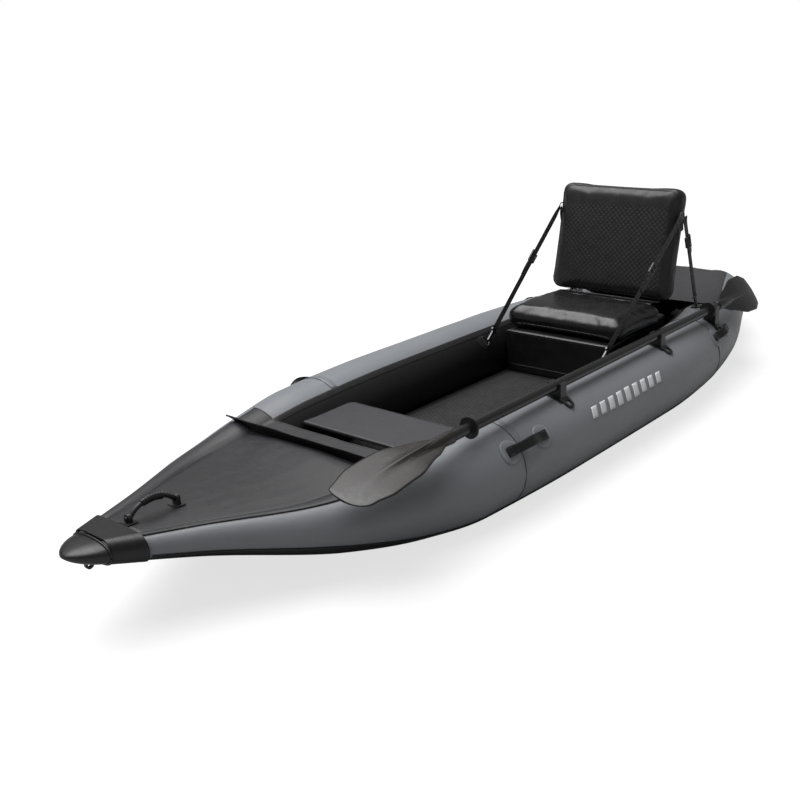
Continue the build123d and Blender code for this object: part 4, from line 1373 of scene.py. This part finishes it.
class KAYAK_OT_backrest(bpy.types.Operator):
    """Backrest: an inflated pad with diagonal quilting on its front"""

    bl_idname = "kayak.backrest"
    bl_label = "Backrest"

    width, height, thickness = 0.49, 0.39, 0.075

    def place(self):
        joint = next(j for j in frame["joints"] if j["name"] == "seat_back_fold")
        lean = settings("kayak_seat").lean
        return Matrix.Translation(joint["pos_m"]) @ Matrix.Rotation(-lean, 4, "Y")

    def execute(self, context):
        look = palette()
        sizes = settings("kayak_seat")
        place = self.place()
        w, h, t = self.width, self.height, self.thickness
        low = Vector((-t + 0.004, -w / 2 - 0.005, 0.002))
        high = Vector((0.003, w / 2 - 0.001, h + 0.013))
        # The pad is made lying down and then stood up, so that its crown is on its front and back.
        swap = Matrix(((0, 0, 1), (0, 1, 0), (-1, 0, 0))).to_4x4()
        flat_low = Vector((-high.z, low.y, low.x))
        flat_high = Vector((-low.z, high.y, high.x))
        back = rounded_block(
            "backrest_pad", flat_low, flat_high, 0.036, 0.026, 0.003, 0.01, look["back"], step=0.01,
        )
        back.data.transform(swap)
        inflated(back, 4.0, 0.006, voxel=0.0055)
        detail = back.modifiers.new("smooth", "SUBSURF")
        detail.levels = 1
        detail.render_levels = 1
        applied(back)
        border = 0.036
        for v in back.data.vertices:
            x, y, z = v.co
            if x < -t / 2:
                continue
            margin_y = (w / 2 - abs(y)) - border
            margin_z = min(z - 0.02, h - 1.5 * border - z)
            inside = min(1, max(0, min(margin_y, margin_z) / 0.012))
            if inside <= 0:
                continue
            a = (y + z) / sizes.quilt_pitch
            b = (y - z) / sizes.quilt_pitch
            ridge = math.sqrt(abs(math.sin(math.pi * a) * math.sin(math.pi * b)))
            v.co.x += inside * sizes.quilt_depth * (ridge - 0.75)
        back.data.transform(place)
        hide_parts("seat_back")
        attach(back, "seat_back")
        rings = []
        for x, name in ((-0.0085, "front"), (-t + 0.0085, "rear")):
            ring = []
            for i in range(112):
                a = 2 * math.pi * i / 112
                c, s = math.cos(a), math.sin(a)
                k = 9
                r = (abs(c) ** k + abs(s) ** k) ** (-1 / k)
                ring.append(place @ Vector((x, (w / 2 - 0.003) * r * c, h / 2 + (h / 2 - 0.003) * r * s)))
            hug(back, ring)
            seam = tube_along("backrest_%s_seam" % name, ring, 0.0018, look["back"], sides=8, closed=True)
            rings.append(seam)
        for piece in rings:
            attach(piece, "seat_back")
        self.tabs(look, place)
        finish_node("back_rings", look["steel"])
        self.web(look)
        return {"FINISHED"}

    def tabs(self, look, place):
        for side, name in ((1, "port"), (-1, "starboard")):
            y = side * (self.width / 2 + 0.0005)
            path = [place @ Vector((-0.018 - 0.012 * u, y, 0.302 - 0.03 * u)) for u in (0, 0.5, 1, 1.5)]
            across = place.to_3x3() @ Vector((1, 0, -0.2))
            tab = ribbon("%s_back_tab" % name, path, across, 0.022, 0.0016, look["webbing"])
            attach(tab, "seat_back")

    def web(self, look):
        low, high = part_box("seat_hinge_web")
        joint = next(j for j in frame["joints"] if j["name"] == "seat_back_fold")
        px, pz = joint["pos_m"][0], joint["pos_m"][2]
        top = pz - 0.002
        path = [Vector((px + 0.039 - 0.0195 * i, 0, top)) for i in range(3)]
        path += [Vector((px - 0.015 * i, 0, top - 0.0032 * i)) for i in range(1, 4)]
        web = ribbon("seat_hinge_sheet", path, (0, 1, 0), high[1] - low[1] - 0.002, 0.0012, look["seat"])
        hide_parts("seat_hinge_web")
        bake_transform(web)


# ---------------------------------------------------------------- straps
ANCHORS = {"front": (-0.145, -56, -1, 0.42), "rear": (-0.812, -8, 1, 0.3)}


def strap_ends(hull, end):
    """The strap's ends at the backrest and at its hook, on the port side."""
    x, angle, towards, _ = ANCHORS[end]
    seat = 0.0003 + (0.0016 if angle < -36 else 0)
    plane = hull.plane(x, angle, seat + 0.0023)
    along = plane.to_3x3() @ Vector((1, 0, 0))
    out = plane.to_3x3() @ Vector((0, 0, 1))
    at_hull = plane.translation + along * (towards * 0.024) + out * 0.005
    layer = 0.006 if towards < 0 else 0.0085
    lean = settings("kayak_seat").lean
    joint = next(j for j in frame["joints"] if j["name"] == "seat_back_fold")
    place = Matrix.Translation(joint["pos_m"]) @ Matrix.Rotation(-lean, 4, "Y")
    at_back = place @ Vector((-0.018, 0.245 + layer, 0.314))
    run = (at_back - at_hull).normalized()
    return at_back - run * 0.01, at_hull + run * 0.046


class KAYAK_OT_straps(bpy.types.Operator):
    """Webbing straps from the backrest to the hull, their buckles, hooks and anchors"""

    bl_idname = "kayak.straps"
    bl_label = "Seat straps"

    def execute(self, context):
        hull = lines()
        look = palette()
        width = settings("kayak_seat").strap_width
        buckles, straps = [], []
        for end in ANCHORS:
            at_back, at_hook = strap_ends(hull, end)
            share = ANCHORS[end][3]
            run = at_hook - at_back
            along = run.normalized()
            wide = Vector((0, 1, 0)).cross(along).normalized()
            out = along.cross(wide)
            if out.y < 0:
                out = -out
            count = 40
            path, across = [], []
            for i in range(count + 1):
                t = i / count
                doubled = 0.0006 * math.sin(math.pi * t)
                path.append(at_back + run * t + out * doubled)
                turn = 0.35 * math.exp(-(((t - 0.0) / 0.05) ** 2))
                across.append(wide * math.cos(turn) + out * math.sin(turn))
            band = ribbon("port_%s_strap_web" % end, path, across, width, 0.0018, look["webbing"])
            tail_start = at_back + run * (share + 0.02)
            tail = []
            for k in range(9):
                lift = 0.0026 + 0.0022 * math.sin(k / 8 * 3.0)
                tail.append(tail_start + run * (0.14 * k / 8) + out * lift)
            loose = ribbon("port_%s_strap_tail" % end, tail, wide, width * 0.96, 0.0016, look["webbing"])
            buckle = self.buckle("port_%s_buckle" % end, at_back + run * share, along, wide, out, width, look)
            for piece in (band, loose, buckle):
                other = mirrored_copy(piece, piece.name.replace("port", "starboard"))
                for one, sign in ((piece, 1), (other, -1)):
                    if one.name.endswith("strap_web"):
                        side = "port" if sign > 0 else "starboard"
                        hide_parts("%s_%s_strap" % (side, end))
                        straps.append(one)
                    if one.name.endswith("buckle"):
                        buckles.append(one)
                    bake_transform(one)
        for one in buckles[:1]:
            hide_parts("strap_adjusters")
        for name in ("strap_hooks", "front_anchor_rings", "rear_anchor_rings"):
            finish_node(name, look["steel"])
        for name in ("front_anchor_patches", "rear_anchor_patches"):
            finish_node(name, look["patch"])
        return {"FINISHED"}

    def buckle(self, name, middle, along, wide, out, width, look):
        """Ladder-lock: a frame with a centre bar and a tilted thumb tab."""
        bm = bmesh.new()

        def bar(centre, size, tilt=0.0):
            turn = Matrix.Rotation(tilt, 3, "Y")
            made = bmesh.ops.create_cube(bm, size=1)
            for v in made["verts"]:
                local = turn @ Vector((v.co.x * size[0], v.co.y * size[1], v.co.z * size[2]))
                local += Vector(centre)
                v.co = middle + along * local.x + wide * local.y + out * local.z

        half = width / 2 + 0.0035
        for side in (-1, 1):
            bar((0, side * half, 0.001), (0.04, 0.0045, 0.0065))
        for x, z in ((-0.018, 0.0035), (0.0, 0.0042), (0.017, 0.0035)):
            bar((x, 0, z), (0.0045, 2 * half, 0.003))
        bar((0.024, 0, 0.0055), (0.012, 2 * half - 0.004, 0.0022), 0.35)
        mesh = bpy.data.meshes.new(name)
        bm.to_mesh(mesh)
        bm.free()
        mesh.materials.append(look["plastic"])
        piece = bpy.data.objects.new(name, mesh)
        bpy.context.scene.collection.objects.link(piece)
        bevel = piece.modifiers.new("soft", "BEVEL")
        bevel.width = 0.0009
        bevel.segments = 2
        return applied(piece)


# ---------------------------------------------------------------- paddle
class KAYAK_OT_paddle(bpy.types.Operator):
    """Two-piece paddle: spooned blades, shaft halves, sleeve, button and drip rings"""

    bl_idname = "kayak.paddle"
    bl_label = "Paddle"

    def half_width(self, x, length, wide, square):
        """Half-width of the blade's round or square side at a distance from its root."""
        stops = [(0.03, 0.016), (0.1, 0.55 * wide)]
        if square:
            stops += [(0.2, 0.93 * wide), (0.3, 0.96 * wide), (0.366, 0.74 * wide)]
        else:
            stops += [(0.2, 0.95 * wide), (0.29, wide), (0.34, 0.82 * wide)]
        if x <= stops[0][0]:
            return stops[0][1]
        if x >= stops[-1][0]:
            t = (x - stops[-1][0]) / (length - stops[-1][0])
            return stops[-1][1] * math.sqrt(max(0, 1 - t**2))
        for (x0, y0), (x1, y1) in zip(stops, stops[1:]):
            if x <= x1:
                t = (x - x0) / (x1 - x0)
                t = t * t * (3 - 2 * t) * 0.5 + t * 0.5
                return y0 + (y1 - y0) * t
        return wide

    def blade(self, name, length, wide, spoon, material, square_side):
        """Blade along +x from its root at the origin, hollow face down."""
        xs = spread(0.034, length - 0.0004, 0.006)
        xs = [x for x in xs if x < length - 0.013]
        xs += [length - gap for gap in TIP_GAPS]
        across = 28
        rings = []
        round_halves = [self.half_width(x, length, wide, False) for x in xs]
        square_halves = [self.half_width(x, length, wide, True) for x in xs]
        for x, round_half, square_half in zip(xs, round_halves, square_halves):
            bend = -BLADE_BOW * max(0, (x - BLADE_STRAIGHT) / (length - BLADE_STRAIGHT)) ** 2
            ring_top, ring_low = [], []
            fade = max(0, 1 - (x - 0.06) / (0.74 * length))
            for k in range(across + 1):
                v = -1 + 2 * k / across
                half = square_half if v * square_side > 0 else round_half
                y = v * half
                hollow = -spoon * (1 - v * v) * min(1, half / wide)
                thick = 0.0011 + 0.0016 * (1 - v * v) ** 0.5
                spine = 0.0125 * fade**1.2 * math.exp(-((y / 0.0075) ** 2))
                rib = 0.0016 * min(1, fade * 4) * math.exp(-(((abs(y) - 0.013) / 0.003) ** 2))
                ring_top.append(Vector((x, y, bend + hollow * -0.3 + thick + spine + rib)))
                ring_low.append(Vector((x, y, bend + hollow * -0.3 - thick - 0.7 * spine)))
            rings.append(ring_top + ring_low[::-1])
        plate = lofted(name, rings, material)
        socket = []
        for x, r in BLADE_ROOT:
            ring = []
            for k in range(28):
                a = 2 * math.pi * k / 28
                flat = 1 - 0.25 * min(1, x / 0.12)
                ring.append(Vector((x, r * math.cos(a), r * flat * math.sin(a))))
            socket.append(ring)
        neck = lofted(name + "_neck", socket, material)
        return plate, neck

    def execute(self, context):
        look = palette()
        sizes = settings("kayak_paddle")
        for side, tilt, node, body in (
            (1, -10, "paddle_front_blade", "paddle_front_half"),
            (-1, -52, "paddle_rear_blade", "paddle"),
        ):
            # The rear blade takes the darker copy of the blade plastic, painted shade
            plate, neck = self.blade(
                node + "_shell", sizes.blade_length, sizes.blade_half_width, sizes.spoon,
                look["blade" if side > 0 else "shaded_rear_blade"], -side,
            )
            start = PADDLE_MIDDLE + side * (HALF_PADDLE - sizes.blade_length)
            place = Matrix.Translation((start, SHAFT_Y, SHAFT_Z))
            place = place @ Matrix.Rotation(math.radians(tilt), 4, "X")
            if side < 0:
                place = place @ Matrix.Rotation(math.pi, 4, "Z")
            for piece in (plate, neck):
                piece.data.transform(place)
                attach(piece, body)
            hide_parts(node)
        for name in ("paddle_front_shaft", "paddle_rear_shaft"):
            finish_node(name, look["shaft"])
        finish_node("paddle_ferrule", look["steel"])
        finish_node("paddle_snap_button", look["steel"])
        for name in ("front_drip_ring", "rear_drip_ring"):
            finish_node(name, look["rubber"])
        return {"FINISHED"}


class KAYAK_OT_cradles(bpy.types.Operator):
    """Rubber cradles that hold the paddle, each with a tab on its outer side"""

    bl_idname = "kayak.cradles"
    bl_label = "Paddle cradles"

    def execute(self, context):
        hull = lines()
        look = palette()
        for name in ("front", "middle", "rear"):
            node = name + "_paddle_clip"
            finish_node(node, look["rubber"])
            low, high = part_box(node)
            x = (low[0] + high[0]) / 2
            outline, inner = [], []
            for i in range(25):
                a = math.pi * (i / 24)
                outline.append((0.017 * math.cos(a), 0.016 + 0.019 * math.sin(a)))
                inner.append((0.009 * math.cos(a), 0.016 + 0.0105 * math.sin(a)))
            outline = [(0.017, -0.006)] + outline + [(-0.017, -0.006)]
            inner = [(0.009, 0.008)] + inner + [(-0.009, 0.008)]
            spacing, _, radius = hull.tube(x)
            crest = math.degrees(math.asin(min(0.9, (high[1] - spacing) / radius)))
            rings = []
            for proud in (0.0012, 0.0062):
                ring_out = [hull.on_tube(x + u, crest + math.degrees(v / radius), proud) for u, v in outline]
                ring_in = [hull.on_tube(x + u, crest + math.degrees(v / radius), proud) for u, v in inner]
                rings.append((ring_out, ring_in))
            points = []
            for out, inn in rings:
                points += out + inn
            n = len(outline)
            faces = []
            for k in range(n):
                j = (k + 1) % n
                o0, o1, i0, i1 = k, j, n + k, n + j
                t0, t1, u0, u1 = 2 * n + k, 2 * n + j, 3 * n + k, 3 * n + j
                faces += [(o0, o1, i1, i0), (t0, u0, u1, t1), (o0, t0, t1, o1), (i0, i1, u1, u0)]
            tab = recalculated(mesh_piece(name + "_cradle_tab", points, faces, look["rubber"], smooth=False))
            bevel = tab.modifiers.new("soft", "BEVEL")
            bevel.width = 0.0012
            bevel.segments = 2
            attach(tab, "hull")
            base = [
                [hull.on_tube(x + u, a, 0.0011) for a in spread(crest - 26, crest + 4, 3)]
                for u in spread(-0.026, 0.026, 0.006)
            ]
            pad = thick_sheet(name + "_cradle_pad", base, 0.0016, look["rubber"], rim=0.0005)
            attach(pad, "hull")
        return {"FINISHED"}


# ---------------------------------------------------------------- handles and valves
class KAYAK_OT_handles(bpy.types.Operator):
    """Webbing grips on the sides of the hull and the carry handle on the bow"""

    bl_idname = "kayak.handles"
    bl_label = "Handles"

    def execute(self, context):
        hull = lines()
        look = palette()
        for end, x in (("front", 0.34 * HALF_LENGTH), ("aft", -0.424 * HALF_LENGTH)):
            place = hull.plane(x, 55, 0.0026)
            half, flat, rise = 0.0825, 0.026, 0.0185
            path = []
            for u in spread(-half, half, 0.005):
                span = half - flat
                arch = rise * math.cos(math.pi / 2 * min(1, abs(u) / span)) ** 1.2 if abs(u) < span else 0
                path.append(place @ Vector((u, 0, 0.0022 + arch)))
            across = place.to_3x3() @ Vector((0, 1, 0))
            grip = ribbon("port_%s_grip" % end, path, across, 0.028, 0.0036, look["band"])
            sleeve_path = [p for p in path[9:-9]]
            sleeve = ribbon("port_%s_grip_sleeve" % end, sleeve_path, across, 0.0284, 0.0046, look["band"])
            stitches = []
            for side in (-1, 1):
                for v in (-0.009, 0.009):
                    steps = [half - 0.004 - 0.018 * k / 4 for k in range(5)]
                    bar = [place @ Vector((side * u, v, 0.0043)) for u in steps]
                    stitches.append(tube_along("port_%s_stitch" % end, bar, 0.0006, look["edge"], sides=5))
            pieces = [grip, sleeve] + stitches
            for piece in pieces:
                other = mirrored_copy(piece, piece.name.replace("port", "starboard"))
                for one in (piece, other):
                    if "_grip" in one.name and "sleeve" not in one.name:
                        side = "port" if one.name.startswith("port") else "starboard"
                        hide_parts("%s_%s_handle" % (side, end))
                    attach(one, "hull")
            for side, name in ((1, "front"), (-1, "back")):
                self.round_patch(hull, look, "%s_%s" % (end, name), x + side * 0.0685)
        finish_node("side_handle_patches", look["chamber"])
        self.bow_handle(look)
        finish_node("bow_handle_eyes", look["plastic"])
        return {"FINISHED"}

    def bow_handle(self, look):
        """Low arched loop with a ribbed rubber grip."""
        pivot = next(j for j in frame["joints"] if j["name"] == "bow_handle_swing")["pos_m"]
        rise, reach = 0.026, 0.058
        path = []
        for u in spread(-0.072, 0.072, 0.003):
            arch = max(0, 1 - (u / reach) ** 2) ** 0.75
            path.append(Vector((pivot[0] + u, 0, pivot[2] + rise * arch)))
        loop = tube_along("bow_handle_loop", path, 0.0058, look["plastic"], sides=14)
        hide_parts("bow_handle")
        grips = []
        inner = [p for p in path if abs(p.x - pivot[0]) < 0.03]
        grips.append(tube_along("bow_handle_sleeve", inner, 0.0084, look["rubber"], sides=14))
        for p, q in zip(inner[::2], inner[1::2]):
            rib = [p.lerp(q, 0.1), p.lerp(q, 0.8)]
            grips.append(tube_along("bow_handle_rib", rib, 0.0098, look["rubber"], sides=14))
        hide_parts("bow_handle_grip")
        for piece in [loop] + grips:
            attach(piece, "bow_handle")

    def round_patch(self, hull, look, end, x):
        """Faint reinforcing patch of hull fabric behind the ends of each grip."""
        points, faces = [], []
        centre = hull.tube(x)[2]
        rings, sides = 6, 40
        for i in range(rings + 1):
            r = 0.034 * (i + 0.001) / rings
            for k in range(sides):
                a = 2 * math.pi * k / sides
                u, v = r * math.cos(a), r * math.sin(a)
                points.append(hull.on_tube(x + u, 55 + math.degrees(v / centre), 0.0008))
        faces = grid_faces(rings + 1, sides, wrap=True)
        patch = mesh_piece("port_%s_grip_patch" % end, points, faces, look["hull_patch"])
        solid = patch.modifiers.new("thickness", "SOLIDIFY")
        solid.thickness = 0.0006
        for piece in (patch, mirrored_copy(patch, "starboard_%s_grip_patch" % end)):
            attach(piece, "hull")


class KAYAK_OT_valves(bpy.types.Operator):
    """Valves, their caps and the drain"""

    bl_idname = "kayak.valves"
    bl_label = "Valves and drain"

    def execute(self, context):
        look = palette()
        for name in ("port_valve", "starboard_valve", "floor_valve", "drain_socket", "tube_valve_bosses"):
            finish_node(name, look["plastic"])
        for name in ("port_valve_cap", "starboard_valve_cap", "floor_valve_cap", "drain_plug"):
            finish_node(name, look["rubber"])
        return {"FINISHED"}


# ---------------------------------------------------------------- stage
class KAYAK_OT_stage(bpy.types.Operator):
    """Pale floor, soft studio light and the camera"""

    bl_idname = "kayak.stage"
    bl_label = "Stage"

    def area(self, name, size, power, place, target, colour=(1, 1, 1)):
        data = bpy.data.lights.new(name, "AREA")
        data.shape = "RECTANGLE"
        data.size, data.size_y = size
        data.energy = power
        data.color = colour
        light = bpy.data.objects.new(name, data)
        light.location = place
        light.rotation_euler = (Vector(target) - Vector(place)).to_track_quat("-Z", "Y").to_euler()
        bpy.context.scene.collection.objects.link(light)

    def dim_bounce(self, n):
        """Keeps the floor pale to the camera while it throws less light on the hull's sides."""
        glow = n.add("ShaderNodeEmission")
        glow.inputs["Strength"].default_value = 0.72
        both = n.add("ShaderNodeAddShader")
        n.shader.inputs["Base Color"].default_value = (0.3, 0.3, 0.3, 1)
        n.link(n.shader.outputs["BSDF"], both.inputs[0])
        n.link(glow.outputs["Emission"], both.inputs[1])
        plain = both.outputs["Shader"]
        dim = n.add("ShaderNodeBsdfDiffuse")
        dim.inputs["Color"].default_value = (0.4, 0.4, 0.4, 1)
        seen = n.add("ShaderNodeLightPath")
        mix = n.add("ShaderNodeMixShader")
        output = next(x for x in n.material.node_tree.nodes if x.type == "OUTPUT_MATERIAL")
        n.link(seen.outputs["Is Camera Ray"], mix.inputs["Fac"])
        n.link(dim.outputs["BSDF"], mix.inputs[1])
        n.link(plain, mix.inputs[2])
        n.link(mix.outputs["Shader"], output.inputs["Surface"])

    def execute(self, context):
        stage = settings("kayak_stage")
        half = stage.floor_size / 2
        n = Nodes("pale_floor", (0.92, 0.92, 0.92), 0.75)
        n.varied_colour(n.noise(0.6, 3), (0.29, 0.29, 0.29), (0.31, 0.31, 0.31))
        self.dim_bounce(n)
        points = [(x, y, -0.0002) for x in (-half, half) for y in (-half, half)]
        floor = mesh_piece("stage_floor", points, [(0, 2, 3, 1)], n.material, smooth=False)
        world = bpy.data.worlds.new("studio")
        world.use_nodes = True
        tree = world.node_tree
        surround = tree.nodes["Background"]
        surround.inputs["Color"].default_value = (1, 1, 1, 1)
        surround.inputs["Strength"].default_value = stage.surround
        backdrop = tree.nodes.new("ShaderNodeBackground")
        backdrop.inputs["Color"].default_value = (1, 1, 1, 1)
        backdrop.inputs["Strength"].default_value = 1.0
        seen = tree.nodes.new("ShaderNodeLightPath")
        mix = tree.nodes.new("ShaderNodeMixShader")
        tree.links.new(seen.outputs["Is Camera Ray"], mix.inputs["Fac"])
        tree.links.new(surround.outputs["Background"], mix.inputs[1])
        tree.links.new(backdrop.outputs["Background"], mix.inputs[2])
        tree.links.new(mix.outputs["Shader"], tree.nodes["World Output"].inputs["Surface"])
        bpy.context.scene.world = world
        sun = bpy.data.lights.new("high_sky", "SUN")
        sun.energy = stage.sky
        sun.angle = math.radians(60)
        sky = bpy.data.objects.new("high_sky", sun)
        sky.rotation_euler = Vector((0.12, -0.3, 1)).to_track_quat("Z", "Y").to_euler()
        bpy.context.scene.collection.objects.link(sky)
        self.area("overhead", (4.5, 2.4), stage.key_power, (0.2, -1.2, 3.0), (0.1, -0.1, 0))
        camera = bpy.data.cameras.new("camera")
        camera.lens = stage.lens
        camera.sensor_width = 36
        camera.shift_x, camera.shift_y = CAMERA_SHIFT
        camera.clip_end = 200
        holder = bpy.data.objects.new("camera", camera)
        bpy.context.scene.collection.objects.link(holder)
        level = CAMERA_FORWARD.cross(Vector((0, 0, 1))).normalized()
        upright = level.cross(CAMERA_FORWARD)
        right = level * math.cos(CAMERA_ROLL) + upright * math.sin(CAMERA_ROLL)
        up = upright * math.cos(CAMERA_ROLL) - level * math.sin(CAMERA_ROLL)
        turn = Matrix((right, up, -CAMERA_FORWARD)).transposed().to_4x4()
        holder.matrix_world = Matrix.Translation(CAMERA_PLACE) @ turn
        bpy.context.scene.camera = holder
        bpy.context.scene.view_settings.view_transform = "Standard"
        return {"FINISHED"}


PIECES = (
    KAYAK_OT_stage,
    KAYAK_OT_chambers,
    KAYAK_OT_linings,
    KAYAK_OT_bottom,
    KAYAK_OT_bow_deck,
    KAYAK_OT_panel,
    KAYAK_OT_stern_deck,
    KAYAK_OT_nose,
    KAYAK_OT_side_mark,
    KAYAK_OT_floor,
    KAYAK_OT_bench,
    KAYAK_OT_cushion,
    KAYAK_OT_backrest,
    KAYAK_OT_straps,
    KAYAK_OT_paddle,
    KAYAK_OT_cradles,
    KAYAK_OT_handles,
    KAYAK_OT_valves,
)


class KAYAK_PT_build(bpy.types.Panel):
    """Settings and build steps of the kayak"""

    bl_idname = "KAYAK_PT_build"
    bl_label = "Inflatable kayak"
    bl_space_type = "VIEW_3D"
    bl_region_type = "UI"
    bl_category = "Kayak"

    def draw(self, context):
        layout = self.layout
        for name, group in SETTINGS:
            box = layout.box()
            box.label(text=group.__doc__)
            for field in group.__annotations__:
                box.prop(getattr(context.scene, name), field)
        for operator in PIECES:
            layout.operator(operator.bl_idname)


def register():
    for name, group in SETTINGS:
        bpy.utils.register_class(group)
        setattr(bpy.types.Scene, name, PointerProperty(type=group))
    for operator in PIECES:
        bpy.utils.register_class(operator)
    bpy.utils.register_class(KAYAK_PT_build)


def unregister():
    bpy.utils.unregister_class(KAYAK_PT_build)
    for operator in reversed(PIECES):
        bpy.utils.unregister_class(operator)
    for name, group in reversed(SETTINGS):
        delattr(bpy.types.Scene, name)
        bpy.utils.unregister_class(group)


def call(operator):
    space, name = operator.bl_idname.split(".")
    result = getattr(getattr(bpy.ops, space), name)()
    if "FINISHED" not in result:
        raise RuntimeError(operator.bl_label + " didn't finish")


def main():
    register()
    for operator in PIECES:
        call(operator)


if __name__ == "__main__":
    main()
